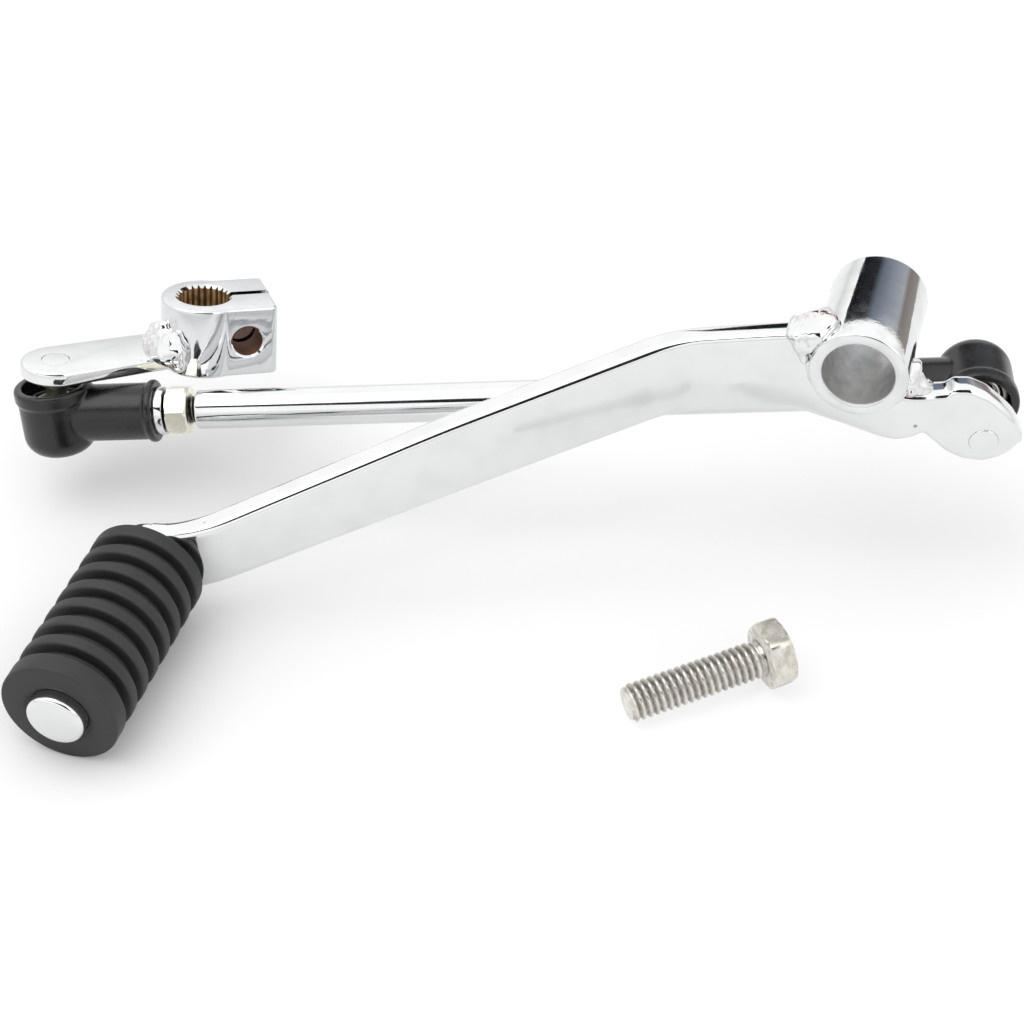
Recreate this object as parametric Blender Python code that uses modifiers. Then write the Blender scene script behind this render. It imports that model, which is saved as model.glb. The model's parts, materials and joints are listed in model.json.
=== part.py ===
"""Motorcycle gear shift lever with its shift linkage, in Blender 4.5.

The lever pivots on a tube. A cranked bar carries the toe peg, and a short
lobe behind the tube drives a link rod through a booted ball joint. A second
ball joint at the rod's front end carries the splined clamp arm that fits the
gearbox shaft. A loose hex bolt lies beside the lever.

Frame: metres, +Z up, +X towards the lobe, +Y inboard. The origin is the
centre of the pivot tube's outboard end, with the tube's axis along Y.
"""

import math

import bmesh
import bpy
import numpy as np
from mathutils import Matrix, Vector

GAP = 0.0003

# Pivot tube
TUBE_R = 0.0100
TUBE_BORE_R = 0.0073
TUBE_LENGTH = 0.0283
TUBE_CHAMFER = 0.0005

# Lever bar: a flat bar, cranked outboard between the tube and the peg
BAR_THICK = 0.0056
BAR_EDGE_R = 0.0013
BAR_MID_Y = 0.0053
PEG_MID_Y = -0.0467
BAR_TIP_HALF = 0.0012
BEND_HALF = 0.0055
LOBE_BEND_HALF = 0.0022
LONG = 0.06

# Toe peg
PEG_X = -0.1362
PEG_Z = -0.0436
PEG_FACE_Y = -0.0500
PEG_LENGTH = 0.0427
PEG_RIB_R = 0.0123
PEG_GROOVE_R = 0.0108
PEG_GROOVES = 7
PEG_GROOVE_W = 0.0016
PIN_R = 0.0061
PIN_SPIGOT_R = 0.0040
PIN_PROUD = 0.0024
BAR_END_R = 0.0082

# Ball joints
REAR_BALL = Vector((0.0227, 0.0250, -0.0166))
FRONT_BALL = Vector((-0.1713, -0.0176, -0.0354))
LOBE_TURN = math.radians(12.0)
REAR_STUD_AXIS = Vector((math.sin(LOBE_TURN), -math.cos(LOBE_TURN), 0.0))
FRONT_STUD_AXIS = Vector((0.0005, 0.2524, 0.9676)).normalized()
ROD_AXIS = (FRONT_BALL - REAR_BALL).normalized()
BALL_R = 0.0040
STUD_NECK_R = 0.0023
STUD_COLLAR_R = 0.0042
STUD_SHANK_R = 0.0030
REAR_BALL_TO_PLATE = 0.0128
FRONT_BALL_TO_PLATE = 0.0096
SEAT_IN_R = 0.0043
SEAT_OUT_R = 0.0049
CUP_IN_R = 0.0053
CUP_OUT_R = 0.0064
RING_R = 0.0004
STEM_R = 0.0046
COLLAR_R = 0.0053
THREAD_R = 0.0029
BOOT_R = 0.0080
BOOT_LIP_R = 0.0085
BOOT_CAVITY_R = 0.0067
SLEEVE_R = 0.0063
SLEEVE_LIP_R = 0.0069
SLEEVE_END = 0.0229
COLLAR_END = 0.0250
NUT_START = 0.0254
NUT_THICK = 0.0050
NUT_ACROSS_FLATS = 0.0100
HEX_TURN = 12.0
HEX_FACE_SHARE = 0.97
HEX_CHAMFER_SHARE = 0.12
ROD_START = 0.0320
THREAD_END = 0.0440

# Link rod
ROD_R = 0.0043
ROD_BORE_R = 0.0032
ROD_BORE_DEPTH = 0.0160

# Clamp arm: local x runs from the stud to the splined bore, z along the stud
ARM_TURN = math.radians(38.6)
EARS_TURN = math.radians(-3.9)
PLATE_TURN = math.radians(7.0)
ARM_LENGTH = 0.0332
ARM_THICK = 0.0037
ARM_END_R = 0.0077
ARM_NECK_HALF = 0.0071
CLAMP_TOP = 0.0252
CLAMP_HEIGHT = 0.0162
CLAMP_BOSS_R = 0.0095
CLAMP_EAR_END = 0.0149
CLAMP_HALF_W = 0.0080
SPLINE_TEETH = 26
SPLINE_MINOR_R = 0.0056
SPLINE_MAJOR_R = 0.0062
SLIT_W = 0.0018
PINCH_R = 0.0034
PINCH_X = 0.0081
ARM_WELD_TOP = 0.0052
ARM_WELD_TOE = 0.0032
ARM_WELD_TOE_THICK = 0.0012
ARM_WELD_SLOPE = math.radians(48)

# Loose bolt, M8 x 30
BOLT_TIP = Vector((-0.0325, -0.0518, 0.0))
BOLT_HEADING = math.radians(37.4)
BOLT_LENGTH = 0.0300
BOLT_R = 0.0040
BOLT_HEAD_THICK = 0.0053
BOLT_ACROSS_FLATS = 0.0130
BOLT_ROLL = math.radians(18)
BOLT_TIP_CHAMFER = 0.0008
FLOOR_Z = PEG_Z - PEG_RIB_R - 0.0002


# ---------------------------------------------------------------- helpers

def clear_scene():
    for obj in list(bpy.data.objects):
        bpy.data.objects.remove(obj, do_unlink=True)


def make_collection(name):
    collection = bpy.data.collections.new(name)
    bpy.context.scene.collection.children.link(collection)
    return collection


def make_material(name, colour, roughness, metallic):
    material = bpy.data.materials.new(name)
    material.use_nodes = True
    shader = material.node_tree.nodes["Principled BSDF"]
    shader.inputs["Base Color"].default_value = (*colour, 1.0)
    shader.inputs["Roughness"].default_value = roughness
    shader.inputs["Metallic"].default_value = metallic
    return material


def axes_matrix(origin, z_axis, x_hint):
    """A frame at origin with +Z along z_axis and +X as near x_hint as it can be."""
    z_dir = Vector(z_axis).normalized()
    x_dir = Vector(x_hint)
    x_dir = (x_dir - x_dir.dot(z_dir) * z_dir).normalized()
    y_dir = z_dir.cross(x_dir)
    matrix = Matrix((x_dir, y_dir, z_dir)).transposed().to_4x4()
    matrix.translation = Vector(origin)
    return matrix


def make_frame(name, matrix, parent=None):
    empty = bpy.data.objects.new(name, None)
    empty.empty_display_size = 0.01
    PARTS.objects.link(empty)
    empty.parent = parent
    empty.matrix_local = matrix
    return empty


def add_object(name, mesh, frame, material=None):
    """Link a mesh as a named part, or as a cutter where no material is given."""
    obj = bpy.data.objects.new(name, mesh)
    collection = PARTS if material else CUTTERS
    collection.objects.link(obj)
    obj.parent = frame
    if material:
        mesh.materials.append(material)
    else:
        obj.hide_render = True
        obj.display_type = "WIRE"
    return obj


def mesh_from(bm, name):
    mesh = bpy.data.meshes.new(name)
    bmesh.ops.recalc_face_normals(bm, faces=bm.faces)
    bm.to_mesh(mesh)
    bm.free()
    return mesh


def smooth(obj, angle=35.0):
    obj.data.shade_smooth()
    obj.data.set_sharp_from_angle(angle=math.radians(angle))
    return obj


def turned(name, profile, frame, material=None, steps=48):
    """Turn a profile of (radius, z) about local Z: down the outside, up any bore."""
    closed = profile[0][0] > 0 and profile[-1][0] > 0
    count = len(profile)
    edges = [(i, i + 1) for i in range(count - 1)]
    if closed:
        edges.append((count - 1, 0))
    mesh = bpy.data.meshes.new(name)
    mesh.from_pydata([(r, 0.0, z) for r, z in profile], edges, [])
    obj = add_object(name, mesh, frame, material)
    screw = obj.modifiers.new("turn", "SCREW")
    screw.axis = "Z"
    screw.steps = screw.render_steps = steps
    screw.use_merge_vertices = True
    screw.merge_threshold = 0.00001
    screw.use_smooth_shade = True
    return obj


def cylinder(name, radius, length, frame, centre=(0, 0, 0), rotate=None, segments=32):
    """A cylinder cutter along its local Z, turned by rotate and moved to centre."""
    bm = bmesh.new()
    bmesh.ops.create_cone(
        bm, cap_ends=True, segments=segments, radius1=radius, radius2=radius, depth=length
    )
    matrix = Matrix.Translation(Vector(centre)) @ (rotate or Matrix.Identity(4))
    bm.transform(matrix)
    return add_object(name, mesh_from(bm, name), frame)


def box(name, low, high, frame):
    """A box cutter between two opposite corners."""
    bm = bmesh.new()
    bmesh.ops.create_cube(bm, size=1.0)
    size = Matrix.Diagonal(Vector(high) - Vector(low)).to_4x4()
    bm.transform(Matrix.Translation((Vector(low) + Vector(high)) / 2) @ size)
    return add_object(name, mesh_from(bm, name), frame)


def prism(name, outline, z_low, z_high, frame, material=None):
    """A flat outline of (x, y) points, raised from z_low to z_high."""
    bm = bmesh.new()
    base = bm.faces.new([bm.verts.new((x, y, z_low)) for x, y in outline])
    grown = bmesh.ops.extrude_face_region(bm, geom=[base])
    top = [v for v in grown["geom"] if isinstance(v, bmesh.types.BMVert)]
    bmesh.ops.translate(bm, verts=top, vec=(0, 0, z_high - z_low))
    return add_object(name, mesh_from(bm, name), frame, material)


def boolean(obj, cutter, operation="DIFFERENCE"):
    modifier = obj.modifiers.new(operation.lower(), "BOOLEAN")
    modifier.operation = operation
    modifier.solver = "EXACT"
    modifier.object = cutter
    return obj


def bevel(obj, width, segments=2, angle=40.0):
    modifier = obj.modifiers.new("edges", "BEVEL")
    modifier.width = width
    modifier.segments = segments
    modifier.limit_method = "ANGLE"
    modifier.angle_limit = math.radians(angle)


def arc(cx, cy, radius, start, end, count):
    """Points on an arc, angles in degrees."""
    return [
        (cx + radius * math.cos(math.radians(a)), cy + radius * math.sin(math.radians(a)))
        for a in np.linspace(start, end, count)
    ]


ALONG_Y = Matrix.Rotation(math.radians(-90), 4, "X")
ALONG_X = Matrix.Rotation(math.radians(90), 4, "Y")


# -------------------------------------------------------------- lever bar

PLAN = np.array(
    [
        (-0.1600, PEG_MID_Y),
        (-0.1260, PEG_MID_Y),
        (-0.0380, BAR_MID_Y),
        (0.0105, BAR_MID_Y),
        (0.0165, 0.0080),
        (0.0400, 0.0080 + 0.0235 * math.tan(LOBE_TURN)),
    ]
)
TOP_EDGE = np.array(
    [
        (PEG_X, PEG_Z + BAR_END_R),
        (-0.1250, -0.0316),
        (-0.0800, -0.0148),
        (-0.0423, -0.0026),
        (-0.0160, 0.0051),
        (-0.0092, 0.0067),
        (-0.0075, 0.0020),
        (0.0060, -0.0050),
        (0.0174, -0.0050),
        (0.0184, -0.0036),
        (0.0216, -0.0034),
        (0.0250, -0.0050),
        (0.0285, -0.0080),
        (0.0310, -0.0106),
        (0.0326, -0.0132),
        (0.0333, -0.0152),
    ]
)
BOTTOM_EDGE = np.array(
    [
        (PEG_X, PEG_Z - BAR_END_R),
        (-0.1240, -0.0474),
        (-0.0760, -0.0322),
        (-0.0396, -0.0210),
        (-0.0149, -0.0141),
        (-0.0107, -0.0139),
        (-0.0023, -0.0154),
        (0.0060, -0.0172),
        (0.0092, -0.0172),
        (0.0115, -0.0163),
        (0.0134, -0.0152),
        (0.0158, -0.0176),
        (0.0190, -0.0205),
        (0.0225, -0.0222),
        (0.0265, -0.0226),
        (0.0300, -0.0211),
        (0.0320, -0.0190),
        (0.0333, -0.0162),
    ]
)


def rounded(table, x, half):
    """A polyline read at x, its corners rounded over a window of 2 * half."""
    window = np.linspace(x - half, x + half, 15)
    return float(np.interp(window, table[:, 0], table[:, 1]).mean())


def bar_section(x):
    """One ring of the bar: a rounded rectangle square to the plan curve."""
    reach = BEND_HALF if x < 0 else LOBE_BEND_HALF
    mid_y = rounded(PLAN, x, reach)
    step = 0.0002
    ahead = rounded(PLAN, x + step, reach)
    across = Vector((mid_y - ahead, step, 0.0)).normalized()
    fine = 0.0006 if x > -0.012 else 0.0040
    top = rounded(TOP_EDGE, x, fine)
    bottom = rounded(BOTTOM_EDGE, x, fine)
    if x < PEG_X:
        half = math.sqrt(max(BAR_END_R**2 - (x - PEG_X) ** 2, BAR_TIP_HALF**2))
        top, bottom = PEG_Z + half, PEG_Z - half
    edge = min(BAR_EDGE_R, 0.45 * (top - bottom))
    half_t = BAR_THICK / 2
    corners = ((half_t, top, 0), (-half_t, top, 90), (-half_t, bottom, 180), (half_t, bottom, 270))
    ring = []
    for t_edge, z_edge, start in corners:
        t_c = t_edge - math.copysign(edge, t_edge)
        z_c = z_edge - (edge if z_edge == top else -edge)
        for t, z in arc(t_c, z_c, edge, start, start + 90, 3):
            ring.append(Vector((x, mid_y, 0.0)) + across * t + Vector((0, 0, z)))
    return ring


def loft(name, rings, frame, material):
    bm = bmesh.new()
    loops = [[bm.verts.new(p) for p in ring] for ring in rings]
    for a, b in zip(loops, loops[1:]):
        for i in range(len(a)):
            j = (i + 1) % len(a)
            bm.faces.new((a[i], a[j], b[j], b[i]))
    bm.faces.new(loops[0])
    bm.faces.new(loops[-1])
    return add_object(name, mesh_from(bm, name), frame, material)


def make_lever_bar():
    stations = np.concatenate(
        [
            PEG_X - BAR_END_R * np.cos(np.radians(np.linspace(8, 80, 6))),
            np.linspace(PEG_X, -0.118, 7),
            np.linspace(-0.108, -0.050, 4),
            np.linspace(-0.045, -0.031, 7),
            np.linspace(-0.026, -0.012, 3),
            np.linspace(-0.0100, 0.0333, 30),
        ]
    )
    bar = loft("lever_bar", [bar_section(float(x)) for x in stations], LEVER, CHROME)
    seat = cylinder("tube_seat", TUBE_R + GAP, LONG, LEVER, rotate=ALONG_Y, segments=48)
    stud_turn = axes_matrix(REAR_BALL, REAR_STUD_AXIS, (0, 0, 1))
    stud_hole = cylinder("stud_hole", STUD_SHANK_R + GAP, LONG, LEVER, rotate=stud_turn)
    pin_hole = cylinder(
        "pin_hole", PIN_SPIGOT_R + GAP, 0.04, LEVER, (PEG_X, PEG_MID_Y, PEG_Z), ALONG_Y
    )
    for cutter in (seat, stud_hole, pin_hole):
        boolean(bar, cutter)
    return smooth(bar, 30)


# ------------------------------------------------------- pivot and its welds

def make_pivot_tube():
    c = TUBE_CHAMFER
    profile = [
        (TUBE_BORE_R + c, TUBE_LENGTH),
        (TUBE_R - c, TUBE_LENGTH),
        (TUBE_R, TUBE_LENGTH - c),
        (TUBE_R, c),
        (TUBE_R - c, 0.0),
        (TUBE_BORE_R + c, 0.0),
        (TUBE_BORE_R, c),
        (TUBE_BORE_R, TUBE_LENGTH - c),
    ]
    frame = make_frame("tube_axis", ALONG_Y, LEVER)
    return turned("pivot_tube", profile, frame, CHROME, steps=48)


def make_welds():
    """Fillet lumps in the corners between the tube and the bar, and a bead on its face."""
    upright = make_frame("weld_plane", Matrix.Rotation(math.radians(90), 4, "X"), LEVER)
    seat = cylinder("weld_seat", TUBE_R + GAP, LONG, LEVER, rotate=ALONG_Y, segments=48)
    front = [
        (-0.0162, 0.0054), (-0.0130, 0.0064), (-0.0104, 0.0076), (-0.0084, 0.0089),
        (-0.0064, 0.0097), (-0.0050, 0.0092), (-0.0070, 0.0076), (-0.0098, 0.0071),
    ]
    rear = [
        (0.0080, -0.0044), (0.0150, -0.0044), (0.0130, -0.0030), (0.0118, -0.0008),
        (0.0108, 0.0012), (0.0090, 0.0020), (0.0070, 0.0000),
    ]
    shapes = (("weld_front", front, 0.0014, 0.0088), ("weld_rear", rear, 0.0034, 0.0090))
    for name, outline, near_y, far_y in shapes:
        weld = prism(name, outline, -far_y, -near_y, upright, CHROME)
        boolean(weld, seat)
        bevel(weld, 0.0003, 1)
    face_y = BAR_MID_Y - BAR_THICK / 2 - GAP
    axis = make_frame("bead_axis", ALONG_Y, LEVER)
    profile = [
        (TUBE_R + GAP, face_y - 0.0012),
        (TUBE_R + GAP, face_y),
        (TUBE_R + 0.0013, face_y),
        (TUBE_R + 0.0009, face_y - 0.0008),
    ]
    bead = turned("weld_bead", profile[::-1], axis, CHROME, steps=48)
    trim = box("bead_trim", (-0.03, -0.01, -0.0060), (0.03, 0.02, 0.03), LEVER)
    boolean(bead, trim)


# -------------------------------------------------------------------- peg

def make_peg():
    """The pin runs inboard from its domed end; the ribbed rubber is pushed over it."""
    outer_y = PEG_FACE_Y - PEG_LENGTH
    frame = make_frame("peg_axis", Matrix.Translation((PEG_X, outer_y, PEG_Z)) @ ALONG_Y, LEVER)
    bar_front = PEG_LENGTH + (PEG_MID_Y - PEG_FACE_Y - BAR_THICK / 2) - GAP
    bar_back = bar_front + BAR_THICK + 2 * GAP
    dome = arc(PIN_R - 0.0012, -PIN_PROUD + 0.0012, 0.0012, 0, -90, 4)
    pin = [
        (0.0, bar_back + 0.0012),
        (0.0048, bar_back + 0.0012),
        (0.0056, bar_back + 0.0004),
        (0.0056, bar_back),
        (PIN_SPIGOT_R, bar_back),
        (PIN_SPIGOT_R, bar_front),
        (PIN_R, bar_front),
        *dome,
        (0.0, -PIN_PROUD - 0.0002),
    ]
    turned("peg_pin", pin, frame, CHROME, steps=32)

    pitch = PEG_LENGTH / (PEG_GROOVES + 1)
    outline = [(PIN_R + GAP, PEG_LENGTH), (PEG_RIB_R - 0.0008, PEG_LENGTH)]
    outline.append((PEG_RIB_R, PEG_LENGTH - 0.0006))
    for i in range(PEG_GROOVES):
        z = PEG_LENGTH - (i + 1) * pitch + 0.0006
        half = PEG_GROOVE_W / 2
        outline += [
            (PEG_RIB_R, z + half + 0.0004),
            (PEG_GROOVE_R, z + half - 0.0003),
            (PEG_GROOVE_R, z - half + 0.0003),
            (PEG_RIB_R, z - half - 0.0004),
        ]
    outline += [(PEG_RIB_R, 0.0012), (PEG_RIB_R - 0.0012, 0.0), (PIN_R + GAP, 0.0)]
    turned("peg_rubber", outline, frame, RUBBER, steps=32)


# ------------------------------------------------------------ ball joints

def make_stud(name, frame, to_plate, plate_thick):
    """Ball, neck, collar against the plate, and a riveted shank through it."""
    neck_angle = math.degrees(math.asin(STUD_NECK_R / BALL_R))
    ball = arc(0, 0, BALL_R, 90 - neck_angle, -90, 9)[:-1] + [(0.0, -BALL_R)]
    collar_z = to_plate - GAP
    top_z = to_plate + plate_thick
    profile = [
        (0.0, top_z + 0.0002),
        (STUD_SHANK_R - 0.0004, top_z + 0.0002),
        (STUD_SHANK_R, top_z - 0.0002),
        (STUD_SHANK_R, collar_z),
        (STUD_COLLAR_R, collar_z),
        (STUD_COLLAR_R, collar_z - 0.0014),
        (STUD_NECK_R, collar_z - 0.0022),
        *ball,
    ]
    return turned(name, profile, frame, ZINC, steps=24)


def make_socket(side, frame):
    """The cup round the ball, with a stem and a thread along local +X."""
    cup = [
        (0.0, -0.0048), (CUP_IN_R - 0.0012, -0.0048), (CUP_IN_R, -0.0036), (CUP_IN_R, 0.0038),
        (CUP_OUT_R, 0.0038), (CUP_OUT_R, -0.0044), (CUP_OUT_R - 0.0014, -0.0057), (0.0, -0.0057),
    ]
    socket = turned(f"{side}_socket", cup, frame, ZINC, steps=32)
    stem_frame = make_frame(f"{side}_stem_axis", ALONG_X, frame)
    stem = [
        (0.0, THREAD_END), (THREAD_R - 0.0005, THREAD_END), (THREAD_R, THREAD_END - 0.0005),
        (THREAD_R, COLLAR_END), (COLLAR_R - 0.0003, COLLAR_END), (COLLAR_R, COLLAR_END - 0.0003),
        (COLLAR_R, SLEEVE_END + 0.0003), (STEM_R, SLEEVE_END + 0.0003), (STEM_R, 0.0054),
        (0.0, 0.0054),
    ]
    stem_part = turned(f"{side}_stem", stem, stem_frame, steps=24)
    boolean(socket, stem_part, "UNION")

    lower = -math.degrees(math.asin(0.0034 / SEAT_IN_R))
    upper = math.degrees(math.asin(0.0024 / SEAT_IN_R))
    seat = arc(0, 0, SEAT_OUT_R, upper - 4, lower + 4, 6) + arc(0, 0, SEAT_IN_R, lower, upper, 6)
    turned(f"{side}_ball_seat", seat, frame, PLASTIC, steps=24)

    ring_mid_r = CUP_IN_R - GAP - RING_R
    ring = arc(ring_mid_r, 0.0031, RING_R, 90, -180, 4)
    turned(f"{side}_snap_ring", ring, frame, STEEL, steps=24)


def make_boot(side, frame):
    """A rubber cap over the cup, open at the plate, with a sleeve along the stem."""
    dome_r = 0.0046
    dome = arc(BOOT_R - dome_r, -0.0042, dome_r, 0, -80, 5)
    outside = [
        (0.0, 0.0072), (BOOT_LIP_R - 0.0005, 0.0072), (BOOT_LIP_R, 0.0067), (BOOT_LIP_R, 0.0056),
        (BOOT_R, 0.0050), *dome, (0.0, -0.0088),
    ]
    boot = turned(f"{side}_boot", outside, frame, RUBBER, steps=32)
    sleeve_frame = make_frame(f"{side}_sleeve_axis", ALONG_X, frame)
    sleeve = turned(
        f"{side}_sleeve",
        [
            (0.0, SLEEVE_END), (SLEEVE_LIP_R, SLEEVE_END), (SLEEVE_LIP_R, SLEEVE_END - 0.0012),
            (SLEEVE_R, SLEEVE_END - 0.0018), (SLEEVE_R, 0.0030), (0.0, 0.0030),
        ],
        sleeve_frame, steps=32,
    )
    cavity = turned(
        f"{side}_boot_cavity",
        [
            (0.0, 0.0090), (BOOT_CAVITY_R, 0.0090), (BOOT_CAVITY_R, -0.0046),
            (BOOT_CAVITY_R - 0.0014, -0.0060), (0.0, -0.0060),
        ],
        frame, steps=32,
    )
    bore = turned(
        f"{side}_sleeve_bore",
        [
            (0.0, SLEEVE_END + 0.002), (STEM_R + GAP, SLEEVE_END + 0.002),
            (STEM_R + GAP, 0.0030), (0.0, 0.0030),
        ],
        sleeve_frame, steps=24,
    )
    boolean(boot, sleeve, "UNION")
    boolean(boot, cavity)
    boolean(boot, bore)


def hexagon(across_flats):
    return arc(0, 0, across_flats / math.sqrt(3), HEX_TURN, HEX_TURN + 300, 6)


def make_hex(name, across_flats, low, high, frame, material):
    """A hexagonal prism whose corners are taken off by a turned cone at each end."""
    body = prism(name, hexagon(across_flats), low, high, frame, material)
    corner = across_flats / math.sqrt(3)
    cut = HEX_CHAMFER_SHARE * (high - low)
    face_r = across_flats / 2 * HEX_FACE_SHARE
    cone = turned(
        f"{name}_chamfer",
        [
            (0.0, high), (face_r, high), (corner + 0.0001, high - cut),
            (corner + 0.0001, low + cut), (face_r, low), (0.0, low),
        ],
        frame, steps=36,
    )
    return boolean(body, cone, "INTERSECT")


def make_nut(side, frame):
    nut_frame = make_frame(f"{side}_nut_axis", ALONG_X, frame)
    nut = make_hex(
        f"{side}_lock_nut", NUT_ACROSS_FLATS, NUT_START, NUT_START + NUT_THICK, nut_frame, ZINC
    )
    bore = cylinder(f"{side}_nut_bore", THREAD_R + GAP, 0.02, nut_frame, (0, 0, NUT_START))
    boolean(nut, bore)


def make_joint(side, ball, stud_axis, towards_rod, to_plate, plate_thick):
    stud_frame = make_frame(f"{side}_stud_frame", axes_matrix(ball, stud_axis, towards_rod), LINKAGE)
    make_stud(f"{side}_ball_stud", stud_frame, to_plate, plate_thick)
    x_dir = Vector(towards_rod).normalized()
    z_dir = (stud_axis - stud_axis.dot(x_dir) * x_dir).normalized()
    frame = make_frame(f"{side}_socket_frame", axes_matrix(ball, z_dir, x_dir), LINKAGE)
    make_socket(side, frame)
    make_boot(side, frame)
    make_nut(side, frame)


def make_link_rod():
    span = (FRONT_BALL - REAR_BALL).length
    frame = make_frame("rod_axis", axes_matrix(REAR_BALL, ROD_AXIS, (0, 0, 1)), LINKAGE)
    low, high, depth = ROD_START, span - ROD_START, ROD_BORE_DEPTH
    profile = [
        (0.0, high - depth), (ROD_BORE_R, high - depth), (ROD_BORE_R, high),
        (ROD_R - 0.0004, high), (ROD_R, high - 0.0004), (ROD_R, low + 0.0004),
        (ROD_R - 0.0004, low), (ROD_BORE_R, low), (ROD_BORE_R, low + depth), (0.0, low + depth),
    ]
    turned("link_rod", profile, frame, CHROME, steps=32)


# -------------------------------------------------------------- clamp arm

def splined_circle(teeth, minor, major):
    """The bore's outline, with flat-topped teeth."""
    points = []
    step = 2 * math.pi / teeth
    for i in range(teeth):
        for share, radius in ((0.0, minor), (0.38, minor), (0.5, major), (0.88, major)):
            angle = (i + share) * step
            points.append((radius * math.cos(angle), radius * math.sin(angle)))
    return points


def make_clamp_arm():
    level = Vector((0, 1, 0)).cross(FRONT_STUD_AXIS).normalized()
    away = FRONT_STUD_AXIS.cross(level)
    reach = math.cos(ARM_TURN) * level + math.sin(ARM_TURN) * away
    arm = make_frame("arm_frame", axes_matrix(FRONT_BALL, FRONT_STUD_AXIS, reach), LINKAGE)

    low, high = FRONT_BALL_TO_PLATE, FRONT_BALL_TO_PLATE + ARM_THICK
    inner_end = ARM_LENGTH - 0.0070
    outline = arc(0, 0, ARM_END_R, 90, 270, 14)
    outline += [(inner_end, -ARM_NECK_HALF), (inner_end, ARM_NECK_HALF)]
    plate_frame = make_frame("plate_frame", Matrix.Rotation(PLATE_TURN, 4, "Z"), arm)
    plate = prism("arm_plate", outline, low, high, plate_frame, CHROME)
    bevel(plate, 0.0006, 2)
    boss_clear = cylinder("boss_clear", CLAMP_BOSS_R + GAP, LONG, arm, (ARM_LENGTH, 0, 0), segments=64)
    stud_hole = cylinder("arm_stud_hole", STUD_SHANK_R + GAP, LONG, arm)
    boolean(plate, boss_clear)
    boolean(plate, stud_hole)

    turn = Matrix.Rotation(EARS_TURN, 4, "Z")
    bore = make_frame("clamp_frame", Matrix.Translation((ARM_LENGTH, 0, 0)) @ turn, arm)
    bottom = CLAMP_TOP - CLAMP_HEIGHT
    half = CLAMP_HALF_W
    round_to = math.degrees(math.asin(half / CLAMP_BOSS_R))
    outline = arc(0, 0, CLAMP_BOSS_R, round_to, 360 - round_to, 18)
    corner = 0.0014
    outline += arc(CLAMP_EAR_END - corner, -half + corner, corner, -90, 0, 3)
    outline += arc(CLAMP_EAR_END - corner, half - corner, corner, 0, 90, 3)
    block = prism("clamp_block", outline, bottom, CLAMP_TOP, bore, CHROME)
    bevel(block, 0.0005, 2)
    spline = prism(
        "spline_cut", splined_circle(SPLINE_TEETH, SPLINE_MINOR_R, SPLINE_MAJOR_R),
        bottom - 0.002, CLAMP_TOP + 0.002, bore,
    )
    slit = box(
        "slit_cut", (0.003, -SLIT_W / 2, bottom - 0.002), (0.02, SLIT_W / 2, CLAMP_TOP + 0.002), bore
    )
    pinch_z = bottom + CLAMP_HEIGHT / 2
    pinch = cylinder("pinch_cut", PINCH_R, 0.03, bore, (PINCH_X, 0, pinch_z), ALONG_Y, 28)
    for cutter in (spline, slit, pinch):
        boolean(block, cutter)

    make_arm_weld(arm, boss_clear, high)


def make_arm_weld(arm, boss_clear, plate_top):
    """A sloping fillet between the plate's top and the clamp's round boss."""
    weld_x = ARM_LENGTH - CLAMP_BOSS_R
    outline = [
        (weld_x - ARM_WELD_TOE, -0.0048), (weld_x + 0.0010, -0.0056), (weld_x + 0.0030, -0.0052),
        (weld_x + 0.0030, 0.0052), (weld_x + 0.0010, 0.0056), (weld_x - ARM_WELD_TOE, 0.0048),
    ]
    weld = prism("arm_weld", outline, plate_top + GAP, plate_top + ARM_WELD_TOP, arm, CHROME)
    toe = Matrix.Translation((weld_x - ARM_WELD_TOE, 0, plate_top + ARM_WELD_TOE_THICK))
    slope = Matrix.Rotation(ARM_WELD_SLOPE, 4, "Y")
    side = 0.03
    bm = bmesh.new()
    bmesh.ops.create_cube(bm, size=side)
    bm.transform(toe @ slope @ Matrix.Translation((-side / 2, 0, 0)))
    ramp = add_object("weld_ramp", mesh_from(bm, "weld_ramp"), arm)
    boolean(weld, boss_clear)
    boolean(weld, ramp)


# ------------------------------------------------------------- loose bolt

def make_bolt():
    """The bolt lies on its thread's tip and a flat of its head."""
    head_r = BOLT_ACROSS_FLATS / 2
    tilt = math.atan((head_r - BOLT_R) / BOLT_LENGTH)
    heading = Vector((math.cos(BOLT_HEADING), math.sin(BOLT_HEADING), 0.0))
    axis = (heading * math.cos(tilt) + Vector((0, 0, math.sin(tilt)))).normalized()
    tip = BOLT_TIP + Vector((0, 0, FLOOR_Z + BOLT_R / math.cos(tilt) + 0.0001))
    frame = make_frame("bolt_frame", axes_matrix(tip, axis, (0, 0, 1)))
    roll = make_frame("bolt_roll", Matrix.Rotation(BOLT_ROLL, 4, "Z"), frame)
    bolt = make_hex(
        "mounting_bolt", BOLT_ACROSS_FLATS, BOLT_LENGTH, BOLT_LENGTH + BOLT_HEAD_THICK, roll, STEEL
    )
    shank = turned(
        "bolt_shank",
        [
            (0.0, BOLT_LENGTH + 0.001), (BOLT_R, BOLT_LENGTH + 0.001), (BOLT_R, 0.0010),
            (BOLT_R - BOLT_TIP_CHAMFER, 0.0), (0.0, 0.0),
        ],
        roll, steps=32,
    )
    boolean(bolt, shank, "UNION")


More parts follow.
